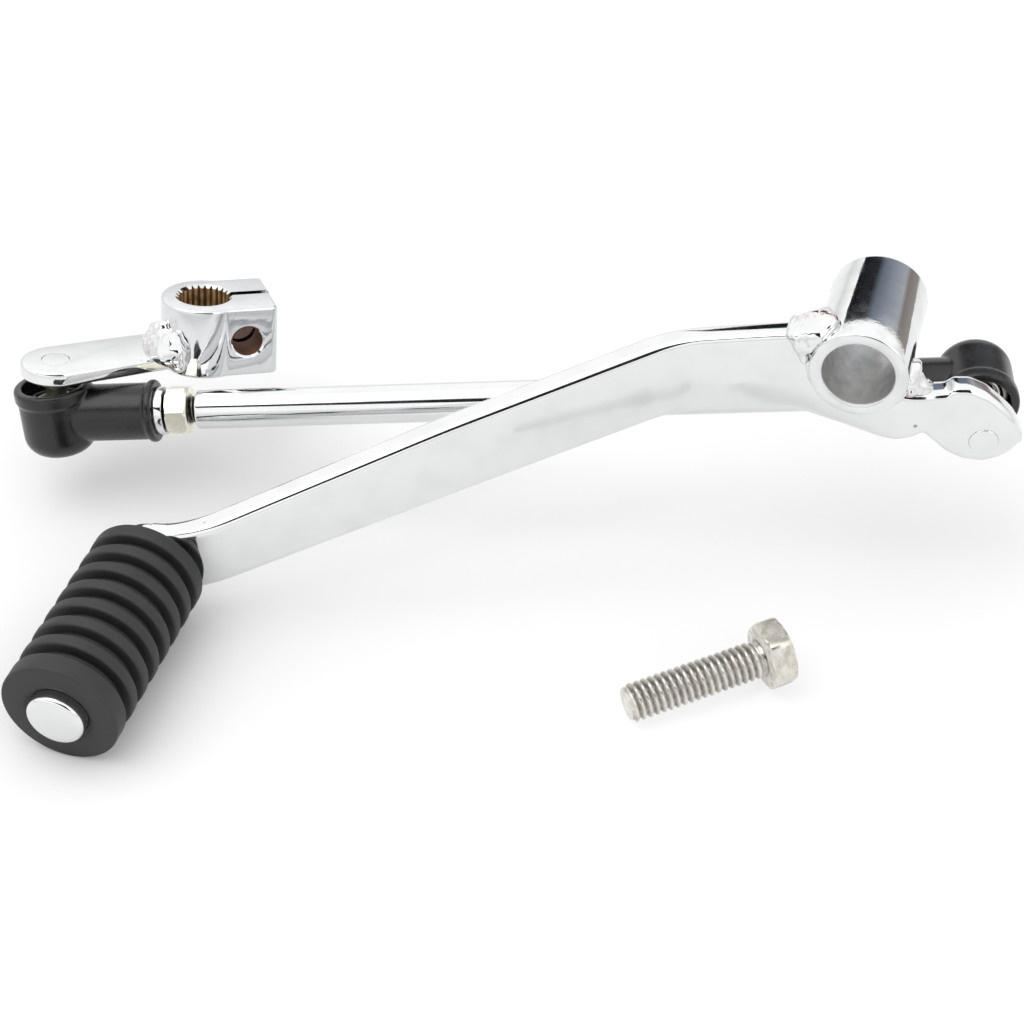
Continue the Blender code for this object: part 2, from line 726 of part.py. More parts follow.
clear_scene()
PARTS = make_collection("gear_shift_lever")
CUTTERS = make_collection("cutters")
CHROME = make_material("chrome", (0.86, 0.87, 0.88), 0.06, 1.0)
ZINC = make_material("zinc", (0.80, 0.79, 0.70), 0.25, 1.0)
STEEL = make_material("steel", (0.68, 0.66, 0.62), 0.28, 1.0)
RUBBER = make_material("rubber", (0.03, 0.03, 0.033), 0.55, 0.0)
PLASTIC = make_material("seat_plastic", (0.75, 0.74, 0.70), 0.45, 0.0)
LEVER = make_frame("lever", Matrix.Identity(4))
LINKAGE = make_frame("linkage", Matrix.Identity(4))

make_lever_bar()
make_pivot_tube()
make_welds()
make_peg()
make_joint("rear", REAR_BALL, REAR_STUD_AXIS, ROD_AXIS, REAR_BALL_TO_PLATE, BAR_THICK)
make_joint("front", FRONT_BALL, FRONT_STUD_AXIS, -ROD_AXIS, FRONT_BALL_TO_PLATE, ARM_THICK)
make_link_rod()
make_clamp_arm()
make_bolt()
bpy.context.view_layer.update()
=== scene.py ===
"""The looks of the motorcycle gear shift lever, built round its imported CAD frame.

Metres, +Z up, +X towards the lobe, +Y inboard. Each function below makes one
kind of shape, one material, or one part of the lever.
"""
import json
import math

import bmesh
import bpy
import numpy as np
from mathutils import Matrix, Vector


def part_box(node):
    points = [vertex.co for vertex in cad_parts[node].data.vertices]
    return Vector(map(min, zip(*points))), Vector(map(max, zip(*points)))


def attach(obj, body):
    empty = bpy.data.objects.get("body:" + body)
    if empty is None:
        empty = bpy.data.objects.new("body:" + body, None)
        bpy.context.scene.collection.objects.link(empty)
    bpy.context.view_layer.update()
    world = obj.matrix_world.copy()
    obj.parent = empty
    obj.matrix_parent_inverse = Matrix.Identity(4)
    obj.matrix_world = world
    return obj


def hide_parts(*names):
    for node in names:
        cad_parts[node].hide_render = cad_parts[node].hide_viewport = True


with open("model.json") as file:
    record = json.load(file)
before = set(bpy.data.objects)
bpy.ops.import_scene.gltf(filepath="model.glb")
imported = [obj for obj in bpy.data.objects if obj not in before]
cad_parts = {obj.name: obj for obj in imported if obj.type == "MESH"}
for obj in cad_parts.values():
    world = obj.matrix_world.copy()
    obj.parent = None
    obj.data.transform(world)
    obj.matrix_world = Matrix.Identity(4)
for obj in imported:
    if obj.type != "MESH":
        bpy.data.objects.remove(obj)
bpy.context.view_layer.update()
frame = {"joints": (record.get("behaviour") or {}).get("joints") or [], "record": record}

# ------------------------------------------------------------ places, from the frame

JOINTS = {joint["name"]: joint for joint in frame["joints"]}
MOUNTS = {mount["name"]: mount for mount in frame["record"]["mounts"]}
REAR_BALL = Vector(JOINTS["rear_swing"]["pos_m"])
FRONT_BALL = Vector(JOINTS["front_swing"]["pos_m"])
ROD_AXIS = Vector(JOINTS["rear_thread"]["axis"]).normalized()
REAR_SOCKET_AXIS = Vector(JOINTS["rear_swing"]["axis"]).normalized()
FRONT_SOCKET_AXIS = Vector(JOINTS["front_swing"]["axis"]).normalized()
FRONT_STUD_AXIS = Vector(MOUNTS["clamp_top_face"]["axis"]).normalized()
LOBE_TURN = math.radians(12.0)
REAR_STUD_AXIS = Vector((math.sin(LOBE_TURN), -math.cos(LOBE_TURN), 0.0))
PEG_LOW, PEG_HIGH = (Vector(corner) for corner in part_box("peg_rubber"))
FLOOR_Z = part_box("mounting_bolt")[0][2]

# Pivot tube
TUBE_R = 0.0100
TUBE_BORE_R = 0.0073
TUBE_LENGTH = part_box("pivot_tube")[1][1]

# Lever bar
BAR_THICK = 0.0056
BAR_MID_Y = 0.0053
PEG_MID_Y = -0.0467
BAR_END_R = 0.0082
BAR_EDGE_R = 0.0018
BEND_HALF = 0.0055
LOBE_BEND_HALF = 0.0022
BAR_TIP_HALF = 0.0008
BAR_IN_TUBE_R = 0.0087
BAR_LOBE_END = 0.0333

# Toe peg
PEG_X = (PEG_LOW.x + PEG_HIGH.x) / 2
PEG_Z = (PEG_LOW.z + PEG_HIGH.z) / 2
PEG_RIB_R = (PEG_HIGH.x - PEG_LOW.x) / 2
PEG_LENGTH = PEG_HIGH.y - PEG_LOW.y
PEG_GROOVES = 7
PEG_GROOVE_R = PEG_RIB_R - 0.0025
PIN_R = 0.0061
PIN_PROUD = 0.0024
PIN_SPIGOT_R = 0.0040
PIN_HEAD_R = 0.0056
PIN_HOLE_R = 0.0043

# Ball joints
BALL_R = 0.0040
REAR_BALL_TO_PLATE = 0.0128
FRONT_BALL_TO_PLATE = 0.0096
STUD_SHANK_R = 0.0030
STUD_NECK_R = 0.0023
STUD_COLLAR_R = 0.0042
RIVET_GAP = 0.00003
SEAT_IN_R = 0.0043
SEAT_OUT_R = 0.0049
CUP_IN_R = 0.0053
CUP_OUT_R = 0.0064
SNAP_RING_MID_R = 0.0046
SNAP_RING_WIRE_R = 0.0004
SNAP_RING_Z = 0.0031
BOOT_R = 0.0080
BOOT_LIP_R = 0.0085
BOOT_CAVITY_R = 0.0067
BOOT_DOME_R = 0.0046
BOOT_VOXEL = 0.00027
SLEEVE_R = 0.0063
SLEEVE_LIP_R = 0.0069
SLEEVE_END = 0.0229
STEM_R = 0.0046
COLLAR_R = 0.0053
COLLAR_END = 0.0250
NUT_START = 0.0254
NUT_THICK = 0.0050
NUT_ACROSS_FLATS = 0.0100
HEX_TURN = math.radians(-18)
THREAD_R = 0.0029
THREAD_PITCH = 0.0010
THREAD_END = 0.0440
ROD_START = 0.0320
ROD_R = 0.0043
ROD_BORE_DEPTH = 0.016

# Clamp arm
ARM_TURN = math.radians(38.6)
EARS_TURN = math.radians(-3.9)
PLATE_TURN = math.radians(7.0)
ARM_LENGTH = 0.0332
ARM_THICK = 0.0037
ARM_END_R = 0.0077
ARM_NECK_HALF = 0.0071
CLAMP_TOP = 0.0252
CLAMP_HEIGHT = 0.0162
CLAMP_BOSS_R = 0.0095
CLAMP_EAR_END = 0.0149
CLAMP_HALF_W = 0.0088
CLAMP_EAR_CORNER_R = 0.0014
SPLINE_TEETH = 26
SPLINE_MINOR_R = 0.0056
SPLINE_MAJOR_R = 0.0062
SLIT_W = 0.0018
SLIT_START = 0.003
PINCH_R = 0.0034
PINCH_X = 0.0081

# Welds: each blob's x, y and z, and its share of the blob radius
WELD_BLOB_R = 0.0028
WELD_ROUGHNESS = 0.00005
FRONT_WELD = (
    (-0.0146, 0.0040, 0.0050, 0.50), (-0.0146, 0.0068, 0.0054, 0.45), (-0.0128, 0.0030, 0.0052, 0.70),
    (-0.0126, 0.0060, 0.0062, 0.62), (-0.0108, 0.0030, 0.0060, 0.85), (-0.0106, 0.0062, 0.0070, 0.80),
    (-0.0091, 0.0028, 0.0064, 0.90), (-0.0086, 0.0058, 0.0076, 0.85), (-0.0086, 0.0076, 0.0078, 0.60),
    (-0.0118, 0.0028, 0.0026, 0.62), (-0.0128, 0.0028, 0.0036, 0.50), (-0.0110, 0.0026, 0.0006, 0.48),
    (-0.0106, 0.0022, 0.0042, 0.70), (-0.0070, 0.0050, 0.0084, 0.55),
)
REAR_WELD = (
    (0.0098, 0.0050, -0.0022, 0.75), (0.0112, 0.0060, -0.0036, 0.80), (0.0126, 0.0062, -0.0046, 0.65),
    (0.0104, 0.0072, -0.0010, 0.65), (0.0094, 0.0056, -0.0004, 0.55), (0.0106, 0.0042, -0.0040, 0.55),
    (0.0138, 0.0070, -0.0050, 0.45),
)
ARM_WELD = (
    (-0.0020, -0.0046, 0.0006, 0.75), (-0.0008, -0.0064, 0.0010, 0.90), (0.0012, -0.0074, 0.0022, 1.00),
    (0.0000, -0.0050, 0.0030, 0.95), (0.0010, -0.0062, 0.0046, 0.80), (-0.0014, -0.0020, 0.0012, 0.85),
    (-0.0002, -0.0026, 0.0042, 0.80), (-0.0016, 0.0008, 0.0010, 0.80), (-0.0004, 0.0012, 0.0044, 0.70),
    (-0.0018, 0.0036, 0.0008, 0.75), (-0.0004, 0.0040, 0.0032, 0.70), (-0.0002, -0.0022, 0.0066, 0.55),
    (-0.0008, 0.0062, 0.0006, 0.60), (0.0016, -0.0078, -0.0006, 0.80), (-0.0030, 0.0010, 0.0002, 0.50),
)

# Loose bolt
BOLT_TIP = Vector((-0.0325, -0.0518, 0.0))
BOLT_HEADING = math.radians(37.4)
BOLT_LENGTH = 0.0300
BOLT_R = 0.0040
BOLT_PITCH = 0.0015
BOLT_THREAD_DEPTH = 0.0008
BOLT_ROLL = math.radians(18)
BOLT_HEAD_THICK = 0.0053
BOLT_ACROSS_FLATS = 0.0130

# Camera: its place, the way it looks, and its lens
CAMERA_PLACE = Vector((0.0234, -0.3236, 0.2509))
CAMERA_AZIMUTH = math.radians(16.35)
CAMERA_ELEVATION = math.radians(42.18)
CAMERA_LENS = 71.47

# Sky: its strength at the horizon and overhead, and the height where it is full
SKY_STRENGTH = (0.85, 1.25)
SKY_FULL_HEIGHT = 0.3

# Lights: name, place, size and power
LIGHTS = (("key", (-0.35, -0.15, 0.75), 0.7, 2.0), ("fill", (0.55, -0.45, 0.55), 0.6, 0.8))

# Dark flag on the camera's side: its lower edge, then its upper edge
CAMERA_FLAG = (
    (
        (-0.50, -0.30, 0.30), (-0.25, -0.42, 0.31), (0.0, -0.50, 0.27),
        (0.20, -0.50, 0.20), (0.38, -0.42, 0.16),
    ),
    (
        (-0.50, -0.28, 0.36), (-0.25, -0.40, 0.43), (0.0, -0.40, 0.56),
        (0.20, -0.36, 0.62), (0.38, -0.30, 0.60),
    ),
)

# Dark flag behind the pivot: a part of a ring round its axis, in degrees from +Z to +X
FLAG_Y = 0.165
FLAG_RADII = (0.070, 0.152)
FLAG_SWEEP = (-56.0, 99.0)
FLAG_COLOURS = [
    (0.360, (0.010, 0.010, 0.012)), (0.46, (0.02, 0.022, 0.028)), (0.50, (0.16, 0.19, 0.24)),
    (0.58, (0.30, 0.34, 0.40)), (0.66, (0.44, 0.46, 0.49)), (0.69, (0.26, 0.23, 0.21)),
    (0.775, (0.36, 0.33, 0.31)),
]


# ------------------------------------------------------------------- node helpers

def new_material(name):
    """A material, with its nodes, its links and its Principled shader."""
    material = bpy.data.materials.new(name)
    material.use_nodes = True
    nodes = material.node_tree.nodes
    return material, nodes, material.node_tree.links, nodes["Principled BSDF"]


def object_coordinates(nodes):
    return nodes.new("ShaderNodeTexCoord").outputs["Object"]


def noise(nodes, links, scale, detail=4.0, roughness=0.55):
    """A noise value over object coordinates."""
    texture = nodes.new("ShaderNodeTexNoise")
    texture.inputs["Scale"].default_value = scale
    texture.inputs["Detail"].default_value = detail
    texture.inputs["Roughness"].default_value = roughness
    links.new(object_coordinates(nodes), texture.inputs["Vector"])
    return texture.outputs["Fac"]


def ramp(nodes, links, value, stops):
    """A colour ramp over value; stops are (position, colour or grey)."""
    node = nodes.new("ShaderNodeValToRGB")
    elements = node.color_ramp.elements
    while len(elements) < len(stops):
        elements.new(0.5)
    for element, (position, colour) in zip(elements, stops):
        element.position = position
        rgb = (colour,) * 3 if isinstance(colour, float) else colour
        element.color = (*rgb, 1.0)
    links.new(value, node.inputs["Fac"])
    return node.outputs["Color"]


def mix(nodes, links, factor, first, second):
    """Blend two colours or sockets by a factor socket."""
    node = nodes.new("ShaderNodeMix")
    node.data_type = "RGBA"
    links.new(factor, node.inputs["Factor"])
    for socket, value in ((node.inputs["A"], first), (node.inputs["B"], second)):
        if isinstance(value, tuple):
            socket.default_value = (*value, 1.0)
        else:
            links.new(value, socket)
    return node.outputs["Result"]


def map_range(nodes, links, value, low, high, new_low, new_high):
    node = nodes.new("ShaderNodeMapRange")
    links.new(value, node.inputs["Value"])
    limits = {"From Min": low, "From Max": high, "To Min": new_low, "To Max": new_high}
    for name, number in limits.items():
        node.inputs[name].default_value = number
    return node.outputs["Result"]


def bump(nodes, links, height, strength, distance, below=None):
    """A bumped normal from a height value, laid over the bump below it."""
    node = nodes.new("ShaderNodeBump")
    node.inputs["Strength"].default_value = strength
    node.inputs["Distance"].default_value = distance
    links.new(height, node.inputs["Height"])
    if below:
        links.new(below, node.inputs["Normal"])
    return node.outputs["Normal"]


def worn_edges(nodes, links, low=0.52, high=0.60):
    """Near 1 on outer edges and 0 elsewhere."""
    geometry = nodes.new("ShaderNodeNewGeometry")
    return map_range(nodes, links, geometry.outputs["Pointiness"], low, high, 0.0, 1.0)


def crevices(nodes, distance):
    """Ambient occlusion: low in the corners that the open air doesn't reach, and 1 in the open; the
    materials paint shade into those corners with it.
    """
    node = nodes.new("ShaderNodeAmbientOcclusion")
    node.inputs["Distance"].default_value = distance
    node.samples = 4
    return node.outputs["AO"]


# ---------------------------------------------------------------------- materials

def chrome(name, tint=(0.77, 0.775, 0.78), cloud=0.02, rust=0.0, ripple=0.08, pits=0.0):
    """Chrome plate: orange peel, faint clouding, and pits or rust where asked."""
    material, nodes, links, shader = new_material(name)
    dull = tuple(channel * (1.0 - 2.2 * cloud) for channel in tint)
    clouds = noise(nodes, links, 160.0, 5.0)
    colour = mix(nodes, links, map_range(nodes, links, clouds, 0.42, 0.66, 0.0, 1.0), tint, dull)
    rough = map_range(nodes, links, clouds, 0.3, 0.75, 0.035, 0.10 + cloud)
    peel = noise(nodes, links, 900.0, 2.0)
    normal = bump(nodes, links, peel, ripple, 0.00006)
    waves = noise(nodes, links, 110.0, 1.0)
    normal = bump(nodes, links, waves, ripple * 1.5, 0.0004, normal)
    if pits:
        cells = nodes.new("ShaderNodeTexVoronoi")
        cells.inputs["Scale"].default_value = 150.0
        cells.inputs["Randomness"].default_value = 1.0
        links.new(object_coordinates(nodes), cells.inputs["Vector"])
        spots = map_range(nodes, links, cells.outputs["Distance"], 0.03, 0.09, 1.0, 0.0)
        chosen = map_range(nodes, links, noise(nodes, links, 60.0, 0.0), 0.60, 0.64, 0.0, pits)
        both = nodes.new("ShaderNodeMath")
        both.operation = "MULTIPLY"
        links.new(spots, both.inputs[0])
        links.new(chosen, both.inputs[1])
        colour = mix(nodes, links, both.outputs[0], colour, (0.16, 0.14, 0.12))
    if rust:
        spread = noise(nodes, links, 300.0, 6.0, 0.7)
        patches = map_range(nodes, links, spread, 0.62 - 0.1 * rust, 0.72, 0.0, 1.0)
        browns = [(0.3, (0.30, 0.09, 0.03)), (0.7, (0.72, 0.30, 0.12))]
        brown = ramp(nodes, links, noise(nodes, links, 700.0), browns)
        colour = mix(nodes, links, patches, colour, brown)
        rough = mix(nodes, links, patches, rough, (0.75, 0.75, 0.75))
        links.new(map_range(nodes, links, patches, 0.0, 1.0, 1.0, 0.1), shader.inputs["Metallic"])
    else:
        shader.inputs["Metallic"].default_value = 1.0
    links.new(colour, shader.inputs["Base Color"])
    links.new(rough, shader.inputs["Roughness"])
    links.new(normal, shader.inputs["Normal"])
    return material


def plated_steel(name, light, dark, roughness, crevice_shade=(0.10, 0.09, 0.07)):
    """Zinc plate: two tones in soft patches, fine grain, and painted shade in the crevices."""
    material, nodes, links, shader = new_material(name)
    patches = noise(nodes, links, 420.0, 5.0, 0.6)
    colour = mix(nodes, links, map_range(nodes, links, patches, 0.40, 0.66, 0.0, 1.0), light, dark)
    # Painted shade: the colour darkens to the shade colour in the corners that ambient occlusion finds.
    unshaded = map_range(nodes, links, crevices(nodes, 0.0012), 0.40, 0.98, 0.0, 1.0)
    colour = mix(nodes, links, unshaded, crevice_shade, colour)
    brighter = tuple(min(1.0, channel * 1.12) for channel in light)
    colour = mix(nodes, links, worn_edges(nodes, links), colour, brighter)
    links.new(colour, shader.inputs["Base Color"])
    shader.inputs["Metallic"].default_value = 1.0
    rough = map_range(nodes, links, patches, 0.3, 0.7, roughness, roughness + 0.14)
    links.new(rough, shader.inputs["Roughness"])
    grain = noise(nodes, links, 2600.0, 3.0)
    links.new(bump(nodes, links, grain, 0.22, 0.00005), shader.inputs["Normal"])
    return material


def rusty_steel(name, deep, light, metallic=0.35):
    """Bare steel gone brown: layered rust with a rough grain, and painted shade in the crevices."""
    material, nodes, links, shader = new_material(name)
    layers = noise(nodes, links, 520.0, 7.0, 0.7)
    flaking = tuple(channel * 1.7 for channel in light)
    colour = ramp(nodes, links, layers, [(0.30, deep), (0.52, light), (0.74, flaking)])
    # Painted shade: the rust darkens to a quarter of its deep colour in the corners that ambient
    # occlusion finds.
    unshaded = map_range(nodes, links, crevices(nodes, 0.0025), 0.15, 0.95, 0.0, 1.0)
    colour = mix(nodes, links, unshaded, tuple(channel * 0.25 for channel in deep), colour)
    links.new(colour, shader.inputs["Base Color"])
    shader.inputs["Metallic"].default_value = metallic
    links.new(map_range(nodes, links, layers, 0.3, 0.7, 0.40, 0.80), shader.inputs["Roughness"])
    links.new(bump(nodes, links, layers, 0.5, 0.0002), shader.inputs["Normal"])
    return material


def rubber(name, base, bloom_colour, roughness):
    """Moulded rubber: fine grain, a dusty bloom, painted shade in the crevices, and scuffed edges."""
    material, nodes, links, shader = new_material(name)
    bloom = noise(nodes, links, 120.0, 6.0, 0.65)
    dust = map_range(nodes, links, bloom, 0.38, 0.72, 0.0, 0.8)
    colour = mix(nodes, links, dust, base, bloom_colour)
    # Painted shade: the rubber darkens to near black in the grooves and corners that ambient occlusion
    # finds.
    unshaded = map_range(nodes, links, crevices(nodes, 0.0040), 0.35, 0.90, 0.0, 1.0)
    colour = mix(nodes, links, unshaded, tuple(channel * 0.3 for channel in base), colour)
    scuffed = tuple(channel * 1.5 for channel in bloom_colour)
    colour = mix(nodes, links, worn_edges(nodes, links, 0.52, 0.62), colour, scuffed)
    links.new(colour, shader.inputs["Base Color"])
    rough = map_range(nodes, links, bloom, 0.3, 0.7, roughness, roughness + 0.14)
    links.new(rough, shader.inputs["Roughness"])
    shader.inputs["Specular IOR Level"].default_value = 0.5
    grain = noise(nodes, links, 3200.0, 2.0)
    normal = bump(nodes, links, grain, 0.35, 0.00008)
    links.new(bump(nodes, links, bloom, 0.15, 0.0003, normal), shader.inputs["Normal"])
    return material


def plastic(name, base):
    """Moulded plastic, slightly uneven in shade, with a fine grain."""
    material, nodes, links, shader = new_material(name)
    darker = tuple(channel * 0.8 for channel in base)
    colour = mix(nodes, links, noise(nodes, links, 260.0, 3.0), base, darker)
    links.new(colour, shader.inputs["Base Color"])
    shader.inputs["Roughness"].default_value = 0.42
    links.new(bump(nodes, links, noise(nodes, links, 2400.0), 0.15, 0.00005), shader.inputs["Normal"])
    return material


# ------------------------------------------------------------------ shape helpers

def arc(cx, cy, radius, start, end, count):
    """Points on an arc, angles in degrees."""
    return [
        (cx + radius * math.cos(math.radians(a)), cy + radius * math.sin(math.radians(a)))
        for a in np.linspace(start, end, count)
    ]


def axes_matrix(origin, z_axis, x_hint):
    """A frame at origin with +Z along z_axis and +X as near x_hint as it can be."""
    z_dir = Vector(z_axis).normalized()
    x_dir = Vector(x_hint)
    x_dir = (x_dir - x_dir.dot(z_dir) * z_dir).normalized()
    matrix = Matrix((x_dir, z_dir.cross(x_dir), z_dir)).transposed().to_4x4()
    matrix.translation = Vector(origin)
    return matrix


ALONG_Y = Matrix.Rotation(math.radians(-90), 4, "X")
ALONG_X = Matrix.Rotation(math.radians(90), 4, "Y")


def soften(profile, radius, steps=3):
    """Round each inner corner of an open profile by an arc-like curve."""
    points = [Vector(p) for p in profile]
    result = [points[0]]
    for before, corner, after in zip(points, points[1:], points[2:]):
        back, ahead = before - corner, after - corner
        reach = min(radius, 0.45 * back.length, 0.45 * ahead.length)
        if reach < 1e-7 or abs(back.angle(ahead) - math.pi) < 0.12:
            result.append(corner)
            continue
        start = corner + back.normalized() * reach
        end = corner + ahead.normalized() * reach
        for t in (i / steps for i in range(steps + 1)):
            result.append(start * (1 - t) ** 2 + corner * (2 * t * (1 - t)) + end * t**2)
    result.append(points[-1])
    return [(float(p[0]), float(p[1])) for p in result]


def circle(radius, z, count):
    """A ring of points round local Z, kept just open where the radius is nothing."""
    r = max(radius, 1e-6)
    turns = np.arange(count) * 2 * math.pi / count
    return [(r * math.cos(a), r * math.sin(a), z) for a in turns]


def cutter_profile(radius, reach):
    """The profile of a straight round cutter that reaches both ways."""
    return [(0, reach), (radius, reach), (radius, -reach), (0, -reach)]


def smooth(obj, angle=32.0):
    """Smooth shading, with edges sharper than the angle kept sharp."""
    obj.data.shade_smooth()
    obj.data.set_sharp_from_angle(angle=math.radians(angle))
    return obj


def from_bmesh(name, bm, matrix=None):
    """Clean a bmesh, place it, and link it as an object."""
    bmesh.ops.remove_doubles(bm, verts=bm.verts, dist=1e-7)
    bmesh.ops.recalc_face_normals(bm, faces=bm.faces)
    mesh = bpy.data.meshes.new(name)
    bm.to_mesh(mesh)
    bm.free()
    if matrix:
        mesh.transform(matrix)
    obj = bpy.data.objects.new(name, mesh)
    bpy.context.scene.collection.objects.link(obj)
    return obj


def skin(name, rings, matrix=None, looped=False):
    """A solid through rings of points: capped at both ends, or looped end to end."""
    bm = bmesh.new()
    loops = [[bm.verts.new(p) for p in ring] for ring in rings]
    pairs = list(zip(loops, loops[1:]))
    if looped:
        pairs.append((loops[-1], loops[0]))
    for a, b in pairs:
        for i in range(len(a)):
            j = (i + 1) % len(a)
            bm.faces.new((a[i], a[j], b[j], b[i]))
    if not looped:
        bm.faces.new(loops[0])
        bm.faces.new(loops[-1])
    return from_bmesh(name, bm, matrix)


def turned(name, profile, matrix, steps=96):
    """Turn (radius, z) points about local Z. Two radii of zero make it solid."""
    rings = [circle(radius, z, steps) for radius, z in profile]
    return smooth(skin(name, rings, matrix, looped=profile[0][0] > 0))


def prism(name, outline, low, high, matrix):
    """A flat outline of (x, y) points, raised from low to high."""
    bm = bmesh.new()
    base = bm.faces.new([bm.verts.new((x, y, low)) for x, y in outline])
    grown = bmesh.ops.extrude_face_region(bm, geom=[base])
    top = [v for v in grown["geom"] if isinstance(v, bmesh.types.BMVert)]
    bmesh.ops.translate(bm, verts=top, vec=(0, 0, high - low))
    return from_bmesh(name, bm, matrix)


def baked(obj, *modifiers):
    """Apply modifiers, each a (type, {setting: value}), and give the object back."""
    for kind, settings in modifiers:
        modifier = obj.modifiers.new(kind.lower(), kind)
        for key, value in settings.items():
            setattr(modifier, key, value)
    graph = bpy.context.evaluated_depsgraph_get()
    mesh = bpy.data.meshes.new_from_object(obj.evaluated_get(graph))
    obj.modifiers.clear()
    obj.data = mesh
    return obj


def cut(obj, *cutters, operation="DIFFERENCE"):
    """Take each cutter from the object, or join it, and remove the cutter."""
    for cutter in cutters:
        baked(obj, ("BOOLEAN", {"operation": operation, "solver": "EXACT", "object": cutter}))
        bpy.data.objects.remove(cutter)
    return obj


def edges(obj, width, segments, angle=35.0):
    """Round the edges that are sharper than the angle."""
    settings = {"width": width, "segments": segments, "limit_method": "ANGLE"}
    settings["angle_limit"] = math.radians(angle)
    return smooth(baked(obj, ("BEVEL", settings)), 40)


def hexagonal(name, across_flats, low, high, matrix, bore_r=0.0):
    """A nut or bolt head: each ring is the hexagon held inside a chamfer cone."""
    around, slope, face_share, corner_share, lead = 120, 1.9, 0.955, 1.142, 0.0004
    half = across_flats / 2
    heights = [0.0, 0.0002, 0.0005, 0.0009]
    levels = [low + h for h in heights] + [high - h for h in reversed(heights)]
    rings = []
    for z in levels:
        limit = half * face_share + slope * min(z - low, high - z)
        ring = []
        for a in np.arange(around) * 2 * math.pi / around:
            corner = (a + math.pi / 6) % (math.pi / 3) - math.pi / 6
            r = min(half / math.cos(corner), limit, half * corner_share)
            ring.append((r * math.cos(a), r * math.sin(a), z))
        rings.append(ring)
    if bore_r:
        bore = ((high, lead), (high - lead, 0.0), (low + lead, 0.0), (low, lead))
        rings += [circle(bore_r + wider, z, around) for z, wider in bore]
    return smooth(skin(name, rings, matrix, looped=bool(bore_r)), 25)


def screw_rings(crest_r, root_r, pitch, start, end, around):
    """Rings of a thread: the radius follows a rounded wave wound along Z."""
    rings = []
    per_pitch = 10
    run_out = 0.6 * pitch
    count = int((end - start) / pitch * per_pitch)
    for z in np.linspace(start, end, count + 1):
        fade = min(1.0, (z - start) / run_out, (end - z) / run_out)
        ring = []
        for a in np.arange(around) * 2 * math.pi / around:
            phase = (z / pitch - a / (2 * math.pi)) % 1.0
            height = min(1.0, max(0.0, 1.25 - 2.6 * abs(phase - 0.5)))
            r = root_r + (crest_r - root_r) * height * (0.25 + 0.75 * fade)
            ring.append((r * math.cos(a), r * math.sin(a), z))
        rings.append(ring)
    return rings


def lumps(name, blobs, voxel, roughen, shift):
    """A weld: ellipsoids of (centre, size) melted together, then roughened by waves."""
    bm = bmesh.new()
    for centre, size in blobs:
        made = bmesh.ops.create_icosphere(bm, subdivisions=3, radius=1.0)
        matrix = Matrix.Translation(centre) @ Matrix.Diagonal((*size, 1.0))
        bmesh.ops.transform(bm, matrix=matrix, verts=made["verts"])
    obj = from_bmesh(name, bm)
    melt = ("REMESH", {"mode": "VOXEL", "voxel_size": voxel})
    baked(obj, melt, ("SMOOTH", {"factor": 0.8, "iterations": 90}))
    mesh = obj.data
    coordinates = np.empty(len(mesh.vertices) * 3)
    mesh.vertices.foreach_get("co", coordinates)
    points = coordinates.reshape(-1, 3)
    normals = np.array([v.normal for v in mesh.vertices])
    waves = (((1, 0.3, 0.5), 2300.0), ((-0.4, 1, 0.6), 3100.0), ((0.5, -0.6, 1), 4300.0))
    height = sum(
        np.sin(points @ np.array(direction) * rate + shift * (k + 1))
        for k, (direction, rate) in enumerate(waves)
    )
    moved = points + normals * (height[:, None] * roughen / len(waves))
    mesh.vertices.foreach_set("co", moved.ravel())
    mesh.shade_smooth()
    return obj


def finish(obj, body, node, slot, *materials):
    """Dress a piece, hide the CAD node it stands for, and ride it on its body."""
    for material in materials:
        obj.data.materials.append(material)
    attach(obj, body)
    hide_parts(node)


# ---------------------------------------------------------------------- lever bar

PLAN = np.array(
    [
        (-0.1600, PEG_MID_Y), (-0.1260, PEG_MID_Y), (-0.0380, BAR_MID_Y), (0.0105, BAR_MID_Y),
        (0.0165, 0.0080), (0.0400, 0.0080 + 0.0235 * math.tan(LOBE_TURN)),
    ]
)
TOP_EDGE = np.array(
    [
        (PEG_X, PEG_Z + BAR_END_R), (-0.1250, -0.0316), (-0.0800, -0.0148), (-0.0423, -0.0026),
        (-0.0160, 0.0051), (-0.0092, 0.0067), (-0.0075, 0.0020), (0.0060, -0.0050), (0.0174, -0.0050),
        (0.0184, -0.0036), (0.0216, -0.0034), (0.0250, -0.0050), (0.0285, -0.0080), (0.0310, -0.0106),
        (0.0326, -0.0132), (0.0333, -0.0152),
    ]
)
BOTTOM_EDGE = np.array(
    [
        (PEG_X, PEG_Z - BAR_END_R), (-0.1240, -0.0474), (-0.0760, -0.0322), (-0.0396, -0.0210),
        (-0.0149, -0.0141), (-0.0107, -0.0139), (-0.0023, -0.0154), (0.0060, -0.0172), (0.0092, -0.0172),
        (0.0115, -0.0163), (0.0134, -0.0152), (0.0158, -0.0176), (0.0190, -0.0205), (0.0225, -0.0222),
        (0.0265, -0.0226), (0.0300, -0.0211), (0.0320, -0.0190), (0.0333, -0.0162),
    ]
)


def rounded(table, x, half):
    """A polyline read at x, its corners rounded over a window of 2 * half."""
    window = np.linspace(x - half, x + half, 15)
    return float(np.interp(window, table[:, 0], table[:, 1]).mean())


